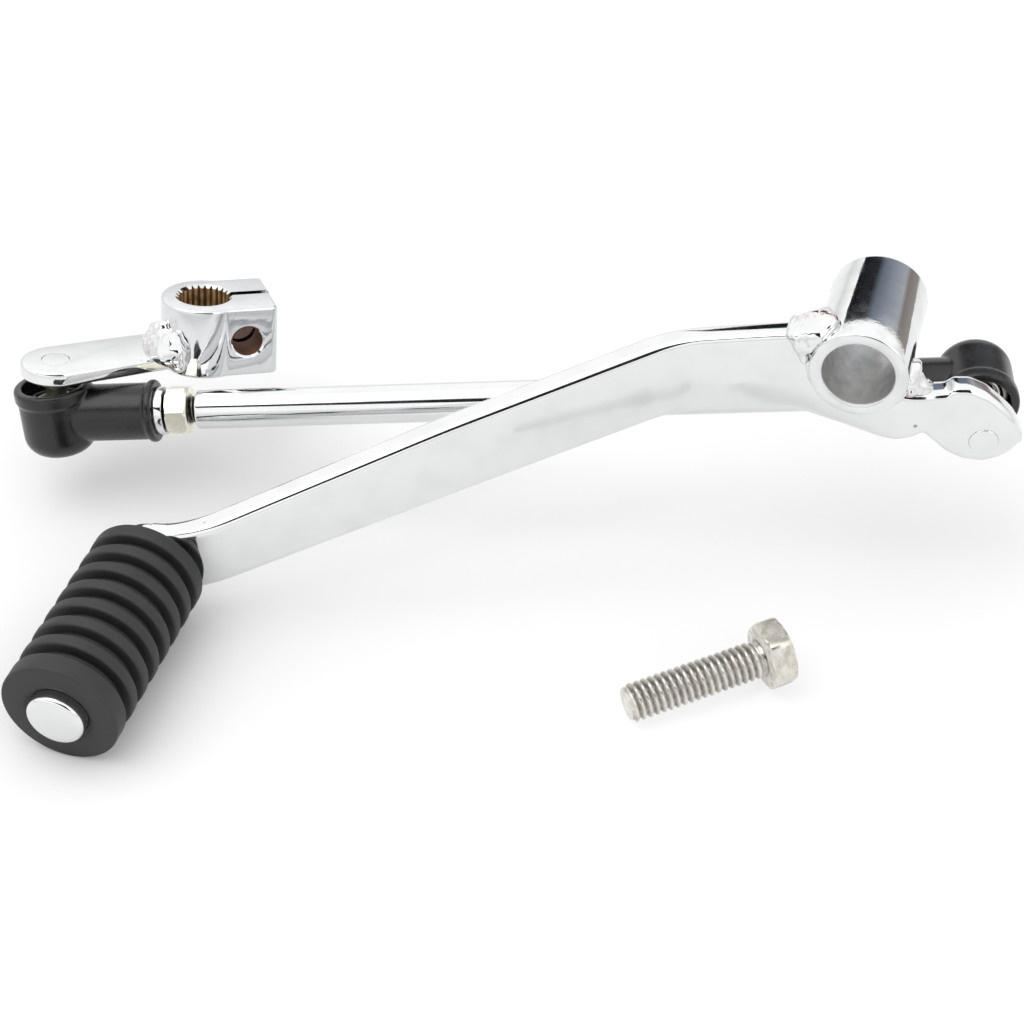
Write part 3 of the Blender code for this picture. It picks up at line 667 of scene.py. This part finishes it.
def bar_section(x):
    """One ring of the bar: a rounded rectangle square to the plan curve."""
    reach = BEND_HALF if x < 0 else LOBE_BEND_HALF
    mid_y = rounded(PLAN, x, reach)
    step = 0.0002
    across = Vector((mid_y - rounded(PLAN, x + step, reach), step, 0.0)).normalized()
    fine = 0.0006 if x > -0.012 else 0.0040
    top, bottom = rounded(TOP_EDGE, x, fine), rounded(BOTTOM_EDGE, x, fine)
    if x < PEG_X:
        half = math.sqrt(max(BAR_END_R**2 - (x - PEG_X) ** 2, BAR_TIP_HALF**2))
        top, bottom = PEG_Z + half, PEG_Z - half
    edge = min(BAR_EDGE_R, 0.45 * (top - bottom))
    half_t = BAR_THICK / 2
    corners = ((half_t, top, 0), (-half_t, top, 90), (-half_t, bottom, 180), (half_t, bottom, 270))
    ring = []
    for t_edge, z_edge, start in corners:
        t_c = t_edge - math.copysign(edge, t_edge)
        z_c = z_edge - (edge if z_edge == top else -edge)
        for t, z in arc(t_c, z_c, edge, start, start + 90, 7):
            ring.append(Vector((x, mid_y, 0.0)) + across * t + Vector((0, 0, z)))
    return ring


def make_lever_bar():
    """The flat bar, let into the tube's wall, with the stud's rivet ring and the pin's hole."""
    end_round = 0.0007
    stations = np.concatenate(
        [
            PEG_X - BAR_END_R * np.cos(np.radians(np.linspace(3, 88, 22))),
            np.arange(PEG_X, -0.0125, 0.0012),
            np.arange(-0.0120, 0.0326, 0.0005),
            BAR_LOBE_END - end_round * (1 - np.sin(np.radians(np.linspace(10, 90, 7)))),
        ]
    )
    bar = skin("lever_bar_forged", [bar_section(float(x)) for x in stations])
    seat = turned("seat", cutter_profile(BAR_IN_TUBE_R, 0.06), ALONG_Y)
    lobe = axes_matrix(REAR_BALL, REAR_STUD_AXIS, (0, 0, 1))
    groove = turned("groove", cutter_profile(STUD_SHANK_R + RIVET_GAP, 0.03), lobe)
    pin_axis = Matrix.Translation((PEG_X, PEG_MID_Y, PEG_Z)) @ ALONG_Y
    hole = turned("hole", cutter_profile(PIN_HOLE_R, 0.03), pin_axis)
    cut(bar, seat, groove, hole)
    smooth(bar, 34)
    finish(bar, "lever", "lever_bar", "chrome", BAR_CHROME)


# ----------------------------------------------------------------- pivot and welds

def make_pivot_tube():
    """The plated tube, with a duller bore."""
    face_r, lead = TUBE_BORE_R + 0.0010, 0.0004
    outside = [(face_r, TUBE_LENGTH), (TUBE_R, TUBE_LENGTH), (TUBE_R, 0.0), (face_r, 0.0)]
    outside = soften(outside, 0.0007, 4)
    inside = soften(
        [
            (face_r, 0.0), (TUBE_BORE_R, lead), (TUBE_BORE_R, TUBE_LENGTH - lead),
            (face_r, TUBE_LENGTH),
        ],
        0.0003, 2,
    )
    tube = turned("pivot_tube_plated", outside + inside[1:-1], ALONG_Y, 160)
    for face in tube.data.polygons:
        if math.hypot(face.center.x, face.center.z) < TUBE_BORE_R + 0.0002:
            face.material_index = 1
    finish(tube, "lever", "pivot_tube", "chrome", TUBE_CHROME, BORE_SATIN)


def corner_blobs(spots):
    """Blobs of a corner weld: their share doesn't shorten them along the bar's thickness."""
    r = WELD_BLOB_R
    return [(Vector((x, y, z)), (r * share, r, r * share)) for x, y, z, share in spots]


def make_welds():
    """The two corner welds, and the thin bead round the tube on the bar's face."""
    for side, spots, shift in (("front", FRONT_WELD, 0.7), ("rear", REAR_WELD, 2.1)):
        weld = lumps(f"weld_{side}_bead", corner_blobs(spots), 0.00022, WELD_ROUGHNESS, shift)
        finish(weld, "lever", f"weld_{side}", "chrome", RUSTY_CHROME)
    ring = []
    path_r = TUBE_R * 1.02
    path_y = BAR_MID_Y - BAR_THICK / 2 - 0.0001
    for k, angle in enumerate(np.radians(np.linspace(172, 338, 46))):
        size = 0.00095 * (1.0 + 0.16 * math.sin(2.3 * k) + 0.10 * math.sin(5.1 * k))
        centre = Vector((path_r * math.cos(angle), path_y, path_r * math.sin(angle)))
        ring.append((centre, (size, size * 0.9, size)))
    bead = lumps("weld_ring_bead", ring, 0.0002, 0.00006, 4.0)
    finish(bead, "lever", "weld_bead", "chrome", BAR_CHROME)


# ---------------------------------------------------------------------------- peg

def make_peg():
    """The riveted pin, and the rubber with rounded ribs that is pushed over it."""
    outer = Matrix.Translation((PEG_X, PEG_LOW.y, PEG_Z)) @ ALONG_Y
    bar_front = PEG_LENGTH + (PEG_MID_Y - PEG_HIGH.y - BAR_THICK / 2)
    bar_back = bar_front + BAR_THICK
    pin = soften(
        [
            (0.0, bar_back + 0.0018), (PIN_HEAD_R - 0.0010, bar_back + 0.0013),
            (PIN_HEAD_R, bar_back + 0.0003), (PIN_HEAD_R, bar_back - 0.0002),
            (PIN_SPIGOT_R, bar_back - 0.0002), (PIN_SPIGOT_R, bar_front), (PIN_R, bar_front),
            (PIN_R, -PIN_PROUD), (0.0, -PIN_PROUD - 0.0002),
        ],
        0.0013, 6,
    )
    finish(turned("peg_pin_headed", pin, outer), "lever", "peg_pin", "chrome", BAR_CHROME)

    pitch = PEG_LENGTH / (PEG_GROOVES + 1)
    mouth, floor = 0.0014, 0.0009
    outline = [(PIN_R + 0.0001, PEG_LENGTH), (PEG_RIB_R, PEG_LENGTH)]
    for i in range(PEG_GROOVES):
        z = PEG_LENGTH - (i + 1) * pitch + 0.0006
        outline += [
            (PEG_RIB_R, z + mouth), (PEG_GROOVE_R, z + floor),
            (PEG_GROOVE_R, z - floor), (PEG_RIB_R, z - mouth),
        ]
    outline += [(PEG_RIB_R, 0.0), (PIN_R + 0.0012, 0.0), (PIN_R + 0.0001, 0.0006)]
    body = turned("peg_rubber_ribbed", soften(outline, 0.0006, 4), outer, 128)
    finish(body, "lever", "peg_rubber", "rubber", PEG_RUBBER)


# -------------------------------------------------------------------- ball joints

def make_stud(side, body, matrix, to_plate, plate_thick):
    """Ball, neck and collar, and a shank riveted flush with the plate and chromed there."""
    neck_angle = math.degrees(math.asin(STUD_NECK_R / BALL_R))
    ball = arc(0, 0, BALL_R, 90 - neck_angle, -90, 26)[:-1] + [(0.0, -BALL_R)]
    top = to_plate + plate_thick
    head = soften(
        [
            (0.0, top + 0.00006), (STUD_SHANK_R - 0.0003, top + 0.00003), (STUD_SHANK_R, top - 0.0001),
            (STUD_SHANK_R, to_plate), (STUD_COLLAR_R, to_plate), (STUD_COLLAR_R, to_plate - 0.0016),
            (STUD_NECK_R, to_plate - 0.0024), (STUD_NECK_R, 0.0034),
        ],
        0.0003, 3,
    )
    stud = turned(f"{side}_ball_stud_turned", head[:-1] + ball, matrix, 72)
    for face in stud.data.polygons:
        local = matrix.inverted() @ face.center
        if local.z > to_plate + 0.0005:
            face.material_index = 1
    finish(stud, body, f"{side}_ball_stud", "zinc", ZINC, BAR_CHROME)


def make_socket(side, body, matrix):
    """The cup round the ball, with its stem, chromed collar and wound thread."""
    around = 40
    cup_profile = [
        (0.0, -0.0048), (CUP_IN_R - 0.0012, -0.0048), (CUP_IN_R, -0.0036), (CUP_IN_R, 0.0038),
        (CUP_OUT_R, 0.0038), (CUP_OUT_R, -0.0044), (CUP_OUT_R - 0.0014, -0.0057), (0.0, -0.0057),
    ]
    cup = turned(f"{side}_cup", soften(cup_profile, 0.0003, 2), matrix, 64)
    along = matrix @ ALONG_X
    crest_r, root_r = THREAD_R + 0.00005, THREAD_R - 0.00055
    thread = screw_rings(crest_r, root_r, THREAD_PITCH, COLLAR_END + 0.0001, THREAD_END, around)
    collar = soften(
        [
            (0.0, 0.0056), (STEM_R, 0.0056), (STEM_R, SLEEVE_END), (COLLAR_R, SLEEVE_END),
            (COLLAR_R, COLLAR_END), (THREAD_R - 0.0002, COLLAR_END),
        ],
        0.0003, 3,
    )
    rings = [circle(radius, z, around) for radius, z in collar]
    stem = smooth(skin(f"{side}_stem", rings + thread, along), 28)
    cut(cup, stem, operation="UNION")
    smooth(cup, 28)
    for face in cup.data.polygons:
        local = along.inverted() @ face.center
        if SLEEVE_END - 0.0005 < local.z < COLLAR_END + 0.0001:
            face.material_index = 1
    finish(cup, body, f"{side}_socket", "zinc", SOCKET_ZINC, BAR_CHROME)
    cup.name = f"{side}_socket_turned"


def make_seat_and_ring(side, matrix, seat_body, ring_body):
    """The plastic ball seat, and the wire ring that keeps it in its cup."""
    zone = arc(0, 0, SEAT_OUT_R, 25, -41, 14) + arc(0, 0, SEAT_IN_R, -52, 33, 18)
    seat = turned(f"{side}_ball_seat_moulded", zone, matrix, 64)
    finish(seat, seat_body, f"{side}_ball_seat", "seat_plastic", PLASTIC)
    wire = arc(SNAP_RING_MID_R, SNAP_RING_Z, SNAP_RING_WIRE_R, 0, -330, 12)
    ring = turned(f"{side}_snap_ring_wire", wire, matrix, 64)
    finish(ring, ring_body, f"{side}_snap_ring", "steel", STEEL)


def make_boot(side, body, matrix):
    """Two crossing rubber cylinders melted into one, hollow and open at the plate."""
    dome = arc(BOOT_R - BOOT_DOME_R, -0.0042, BOOT_DOME_R, 0, -80, 10)
    outside = [
        (0.0, 0.0072), (BOOT_LIP_R - 0.0004, 0.0072), (BOOT_LIP_R, 0.0066), (BOOT_LIP_R, 0.0045),
        (BOOT_R, 0.0038), *dome, (0.0, -0.0088),
    ]
    cap = turned(f"{side}_cap", outside, matrix, 96)
    along = matrix @ ALONG_X
    start = 0.0030
    sleeve = [
        (0.0, SLEEVE_END), (SLEEVE_LIP_R - 0.0004, SLEEVE_END), (SLEEVE_LIP_R, SLEEVE_END - 0.0004),
        (SLEEVE_LIP_R, SLEEVE_END - 0.0013), (SLEEVE_R, SLEEVE_END - 0.0019), (SLEEVE_R, start),
        (0.0, start),
    ]
    cavity = [
        (0.0, 0.0090), (BOOT_CAVITY_R, 0.0090), (BOOT_CAVITY_R, -0.0046),
        (BOOT_CAVITY_R - 0.0014, -0.0060), (0.0, -0.0060),
    ]
    bore_r, past_end = STEM_R + 0.0003, SLEEVE_END + 0.002
    bore = [(0.0, past_end), (bore_r, past_end), (bore_r, start), (0.0, start)]
    cut(cap, turned("sleeve", sleeve, along, 96), operation="UNION")
    cut(cap, turned("cavity", cavity, matrix, 96), turned("bore", bore, along, 64))
    melt = ("REMESH", {"mode": "VOXEL", "voxel_size": BOOT_VOXEL})
    baked(cap, melt, ("SMOOTH", {"factor": 0.5, "iterations": 3}))
    cap.data.shade_smooth()
    cap.name = f"{side}_boot_rubber"
    finish(cap, body, f"{side}_boot", "rubber", BOOT_RUBBER)


def make_joint(side, ball, stud_axis, socket_axis, rodward, to_plate, plate_thick, stud_body):
    """One end of the link: the stud stays with its plate, the rest goes with the rod."""
    socket_frame = axes_matrix(ball, socket_axis, rodward)
    make_stud(side, stud_body, axes_matrix(ball, stud_axis, rodward), to_plate, plate_thick)
    make_socket(side, f"{side}_end", socket_frame)
    make_seat_and_ring(side, socket_frame, f"{side}_seat", f"{side}_ring")
    make_boot(side, f"{side}_end", socket_frame)
    nut_frame = socket_frame @ ALONG_X @ Matrix.Rotation(HEX_TURN, 4, "Z")
    nut = hexagonal(
        f"{side}_lock_nut_hex", NUT_ACROSS_FLATS, NUT_START, NUT_START + NUT_THICK, nut_frame,
        THREAD_R + 0.0001,
    )
    finish(nut, "lock_nuts", f"{side}_lock_nut", "zinc", NUT_ZINC)


def make_link_rod():
    """The chromed rod, bored at both ends for the sockets' threads."""
    span = (FRONT_BALL - REAR_BALL).length
    low, high, bore_r, depth = ROD_START, span - ROD_START, THREAD_R + 0.0002, ROD_BORE_DEPTH
    outside = soften([(bore_r, high), (ROD_R, high), (ROD_R, low), (bore_r, low)], 0.0006, 4)
    inside_low = [(bore_r, low + depth), (0.0, low + depth)]
    profile = [(0.0, high - depth), (bore_r, high - depth)] + outside + inside_low
    rod = turned("link_rod_drawn", profile, axes_matrix(REAR_BALL, ROD_AXIS, (0, 0, 1)), 96)
    finish(rod, "rod", "link_rod", "chrome", ROD_CHROME)


# ---------------------------------------------------------------------- clamp arm

def arm_matrix():
    """The arm's frame: x runs from the stud to the splined bore, z along the stud."""
    level = Vector((0, 1, 0)).cross(FRONT_STUD_AXIS).normalized()
    reach = math.cos(ARM_TURN) * level + math.sin(ARM_TURN) * FRONT_STUD_AXIS.cross(level)
    return axes_matrix(FRONT_BALL, FRONT_STUD_AXIS, reach)


def splined_circle():
    """The bore's outline; each tooth is given by its shares of a tooth's turn."""
    points = []
    step = 2 * math.pi / SPLINE_TEETH
    tooth = (
        (0.22, SPLINE_MINOR_R), (0.44, SPLINE_MAJOR_R), (0.56, SPLINE_MAJOR_R), (0.78, SPLINE_MINOR_R),
    )
    for i in range(SPLINE_TEETH):
        for share, radius in tooth:
            angle = (i + share) * step
            points.append((radius * math.cos(angle), radius * math.sin(angle)))
    return points


def paint_inside(obj, inverse, radius, index):
    """Give a material index to the faces that lie wholly within a radius of an axis."""
    inside = [math.hypot(*(inverse @ v.co).xy) < radius for v in obj.data.vertices]
    for face in obj.data.polygons:
        if all(inside[i] for i in face.vertices):
            face.material_index = index


def make_clamp_block(arm):
    """The pinch clamp: splined bore with its leads, slit, and a chamfered pinch hole."""
    bore = arm @ Matrix.Translation((ARM_LENGTH, 0, 0)) @ Matrix.Rotation(EARS_TURN, 4, "Z")
    bottom, half = CLAMP_TOP - CLAMP_HEIGHT, CLAMP_HALF_W
    below, above = bottom - 0.002, CLAMP_TOP + 0.002
    round_to = math.degrees(math.asin(half / CLAMP_BOSS_R))
    corner = CLAMP_EAR_CORNER_R
    outline = arc(0, 0, CLAMP_BOSS_R, round_to, 360 - round_to, 72)
    outline += arc(CLAMP_EAR_END - corner, -half + corner, corner, -90, 0, 7)
    outline += arc(CLAMP_EAR_END - corner, half - corner, corner, 0, 90, 7)
    block = edges(prism("clamp_block_forged", outline, bottom, CLAMP_TOP, bore), 0.0008, 4)
    spline = prism("spline", splined_circle(), below, above, bore)
    lead_r, lead, out = SPLINE_MAJOR_R + 0.0001, 0.0006, 0.001
    leads = []
    for z, s in ((CLAMP_TOP, 1), (bottom, -1)):
        cone = [
            (0, z + s * out), (lead_r + out, z + s * out), (lead_r, z), (SPLINE_MINOR_R, z - s * lead),
            (0, z - s * lead),
        ]
        leads.append(turned("lead", cone, bore, 96))
    far, side = 0.02, SLIT_W / 2
    gap = [(SLIT_START, -side), (far, -side), (far, side), (SLIT_START, side)]
    slit = prism("slit", gap, below, above, bore)
    across = bore @ Matrix.Translation((PINCH_X, 0, bottom + CLAMP_HEIGHT / 2)) @ ALONG_Y
    mouth_r, mouth, throat = PINCH_R + 0.0008, half + 0.0003, half - 0.0004
    hole = [
        (0, far), (mouth_r, far), (mouth_r, mouth), (PINCH_R, throat), (PINCH_R, -throat),
        (mouth_r, -mouth), (mouth_r, -far), (0, -far),
    ]
    pinch = turned("pinch", hole, across, 72)
    cut(block, *leads, spline, slit, pinch)
    smooth(block, 34)
    paint_inside(block, bore.inverted(), SPLINE_MAJOR_R + 0.00005, 1)
    paint_inside(block, across.inverted(), PINCH_R + 0.0001, 2)
    finish(block, "clamp_arm", "clamp_block", "chrome", BLOCK_CHROME, SPLINE_RUST, HOLE_RUST)


def make_arm():
    """The plate riveted to the front stud, the clamp, and the weld between them."""
    arm = arm_matrix()
    make_clamp_block(arm)
    low, high = FRONT_BALL_TO_PLATE, FRONT_BALL_TO_PLATE + ARM_THICK
    inner_end = ARM_LENGTH - 0.0070
    outline = arc(0, 0, ARM_END_R, 90, 270, 60)
    outline += [(inner_end, -ARM_NECK_HALF), (inner_end, ARM_NECK_HALF)]
    plate_frame = arm @ Matrix.Rotation(PLATE_TURN, 4, "Z")
    plate = edges(prism("arm_plate_forged", outline, low, high, plate_frame), 0.0011, 5, 50)
    cut(plate, turned("groove", cutter_profile(STUD_SHANK_R + RIVET_GAP, 0.03), arm, 72))
    smooth(plate, 34)
    finish(plate, "clamp_arm", "arm_plate", "chrome", PLATE_CHROME)

    toe = arm @ Matrix.Translation((ARM_LENGTH - CLAMP_BOSS_R, 0, high))
    blobs = [(toe @ Vector((x, y, z)), (WELD_BLOB_R * share,) * 3) for x, y, z, share in ARM_WELD]
    weld = lumps("arm_weld_bead", blobs, 0.00024, WELD_ROUGHNESS, 1.3)
    finish(weld, "clamp_arm", "arm_weld", "chrome", RUSTY_CHROME)


# --------------------------------------------------------------------- loose bolt

def make_bolt():
    """The bolt lies on its thread's tip and a flat of its head."""
    around = 72
    tilt = math.atan((BOLT_ACROSS_FLATS / 2 - BOLT_R) / BOLT_LENGTH)
    heading = Vector((math.cos(BOLT_HEADING), math.sin(BOLT_HEADING), 0.0))
    axis = (heading * math.cos(tilt) + Vector((0, 0, math.sin(tilt)))).normalized()
    tip_z = PEG_Z - PEG_RIB_R - 0.0001 + BOLT_R / math.cos(tilt)
    tip = BOLT_TIP + Vector((0, 0, tip_z))
    matrix = axes_matrix(tip, axis, (0, 0, 1)) @ Matrix.Rotation(BOLT_ROLL, 4, "Z")
    bolt = hexagonal(
        "bolt_head", BOLT_ACROSS_FLATS, BOLT_LENGTH, BOLT_LENGTH + BOLT_HEAD_THICK,
        matrix @ Matrix.Rotation(HEX_TURN, 4, "Z"),
    )
    thread_end = BOLT_LENGTH - 0.0008
    rings = screw_rings(BOLT_R, BOLT_R - BOLT_THREAD_DEPTH, BOLT_PITCH, 0.0002, thread_end, around)
    rings.append(circle(BOLT_R - 0.0004, BOLT_LENGTH - 0.0004, around))
    rings.append(circle(BOLT_R - 0.0002, BOLT_LENGTH + 0.0010, around))
    cut(bolt, skin("bolt_thread", rings, matrix), operation="UNION")
    smooth(bolt, 28)
    bolt.name = "mounting_bolt_threaded"
    bolt.visible_glossy = False
    bolt.visible_diffuse = False
    finish(bolt, "bolt", "mounting_bolt", "steel", STEEL)


# ------------------------------------------------------- floor, light and camera

def make_floor():
    """A wide sheet of pale paper just under the parts."""
    bm = bmesh.new()
    bmesh.ops.create_grid(bm, x_segments=1, y_segments=1, size=3.0)
    floor = from_bmesh("floor", bm, Matrix.Translation((0, 0, FLOOR_Z - 0.0002)))
    material, nodes, links, shader = new_material("floor_paper")
    paper = ramp(nodes, links, noise(nodes, links, 3.0, 2.0), [(0.3, 0.73), (0.7, 0.75)])
    links.new(paper, shader.inputs["Base Color"])
    shader.inputs["Roughness"].default_value = 0.9
    shader.inputs["Specular IOR Level"].default_value = 0.1
    floor.data.materials.append(material)


def make_card(name, rings, shade):
    """A studio flag that only reflections see; shade(nodes, links) gives its colour."""
    bm = bmesh.new()
    loops = [[bm.verts.new(p) for p in ring] for ring in rings]
    for a, b in zip(loops, loops[1:]):
        for i in range(len(a) - 1):
            bm.faces.new((a[i], a[i + 1], b[i + 1], b[i]))
    card = from_bmesh(name, bm)
    material = new_material(name)[0]
    nodes, links = material.node_tree.nodes, material.node_tree.links
    glow = nodes.new("ShaderNodeEmission")
    links.new(shade(nodes, links), glow.inputs["Color"])
    links.new(glow.outputs[0], nodes["Material Output"].inputs["Surface"])
    card.data.materials.append(material)
    for ray in ("camera", "diffuse", "shadow", "transmission"):
        setattr(card, f"visible_{ray}", False)


def radial_shade(nodes, links):
    """Colours round the pivot axis: black, then cloudy blue-grey, then taupe."""
    parts = nodes.new("ShaderNodeSeparateXYZ")
    links.new(object_coordinates(nodes), parts.inputs[0])
    flat = nodes.new("ShaderNodeCombineXYZ")
    links.new(parts.outputs["Z"], flat.inputs["X"])
    links.new(parts.outputs["X"], flat.inputs["Y"])
    turn = nodes.new("ShaderNodeTexGradient")
    turn.gradient_type = "RADIAL"
    links.new(flat.outputs[0], turn.inputs["Vector"])
    return ramp(nodes, links, turn.outputs["Color"], FLAG_COLOURS)


def dark_shade(nodes, links):
    """Black cloth, a little uneven."""
    return ramp(nodes, links, noise(nodes, links, 8.0), [(0.3, 0.01), (0.7, 0.03)])


def make_light():
    """A white sky that is brighter overhead, two soft lights, and the dark flags."""
    world = bpy.data.worlds.new("studio")
    bpy.context.scene.world = world
    world.use_nodes = True
    nodes, links = world.node_tree.nodes, world.node_tree.links
    parts = nodes.new("ShaderNodeSeparateXYZ")
    links.new(nodes.new("ShaderNodeTexCoord").outputs["Generated"], parts.inputs[0])
    strength = map_range(nodes, links, parts.outputs["Z"], 0.0, SKY_FULL_HEIGHT, *SKY_STRENGTH)
    links.new(strength, nodes["Background"].inputs["Strength"])
    nodes["Background"].inputs["Color"].default_value = (1.0, 1.0, 1.0, 1.0)
    for name, place, size, power in LIGHTS:
        light = bpy.data.lights.new(name, "AREA")
        light.size = size
        light.energy = power
        obj = bpy.data.objects.new(name, light)
        obj.location = place
        obj.rotation_euler = (-Vector(place)).to_track_quat("-Z", "Y").to_euler()
        bpy.context.scene.collection.objects.link(obj)
    sweep = [math.radians(a) for a in np.linspace(*FLAG_SWEEP, 40)]
    make_card(
        "flag_behind",
        [[(r * math.sin(a), FLAG_Y, r * math.cos(a)) for a in sweep] for r in FLAG_RADII],
        radial_shade,
    )
    make_card("flag_camera", CAMERA_FLAG, dark_shade)


def make_camera():
    """The camera, level, looking the way the object is best known."""
    camera = bpy.data.cameras.new("camera")
    camera.lens = CAMERA_LENS
    camera.sensor_width = 36.0
    camera.clip_start = 0.01
    obj = bpy.data.objects.new("camera", camera)
    obj.location = CAMERA_PLACE
    obj.rotation_euler = (math.pi / 2 - CAMERA_ELEVATION, 0.0, CAMERA_AZIMUTH)
    bpy.context.scene.collection.objects.link(obj)
    bpy.context.scene.camera = obj


BAR_CHROME = chrome("bar_chrome", pits=0.8)
PLATE_CHROME = chrome("plate_chrome", pits=0.4)
TUBE_CHROME = chrome("tube_chrome", cloud=0.05, ripple=0.14)
# The fourth colour given to plated_steel, or its default, is the painted shade laid into the crevices.
BORE_SATIN = plated_steel("bore_satin", (0.72, 0.72, 0.71), (0.60, 0.60, 0.60), 0.38)
RUSTY_CHROME = chrome("weld_chrome", rust=0.45, ripple=0.06)
BLOCK_CHROME = chrome("block_chrome", tint=(0.72, 0.73, 0.74), cloud=0.03, ripple=0.14)
ROD_CHROME = chrome("rod_chrome", ripple=0.05)
ZINC = plated_steel("zinc", (0.80, 0.79, 0.72), (0.66, 0.64, 0.54), 0.25)
SOCKET_ZINC = plated_steel(
    "socket_zinc", (0.30, 0.29, 0.26), (0.20, 0.19, 0.17), 0.35, (0.02, 0.02, 0.02)
)
NUT_ZINC = plated_steel("nut_zinc", (0.90, 0.88, 0.76), (0.78, 0.75, 0.60), 0.24)
STEEL = plated_steel("bolt_steel", (0.72, 0.70, 0.64), (0.46, 0.43, 0.37), 0.22, (0.05, 0.04, 0.03))
SPLINE_RUST = rusty_steel("spline_rust", (0.14, 0.07, 0.03), (0.42, 0.26, 0.12), 0.55)
HOLE_RUST = rusty_steel("hole_rust", (0.07, 0.03, 0.02), (0.20, 0.09, 0.05))
PEG_RUBBER = rubber("peg_rubber", (0.012, 0.012, 0.013), (0.026, 0.026, 0.028), 0.50)
BOOT_RUBBER = rubber("boot_rubber", (0.005, 0.005, 0.006), (0.010, 0.010, 0.012), 0.20)
PLASTIC = plastic("seat_plastic", (0.75, 0.74, 0.70))

make_camera()
make_lever_bar()
make_pivot_tube()
make_welds()
make_peg()
make_joint(
    "rear", REAR_BALL, REAR_STUD_AXIS, REAR_SOCKET_AXIS, ROD_AXIS,
    REAR_BALL_TO_PLATE, BAR_THICK, "lever",
)
make_joint(
    "front", FRONT_BALL, FRONT_STUD_AXIS, FRONT_SOCKET_AXIS, -ROD_AXIS,
    FRONT_BALL_TO_PLATE, ARM_THICK, "clamp_arm",
)
make_link_rod()
make_arm()
make_bolt()
make_floor()
make_light()
bpy.context.scene.view_settings.view_transform = "Standard"
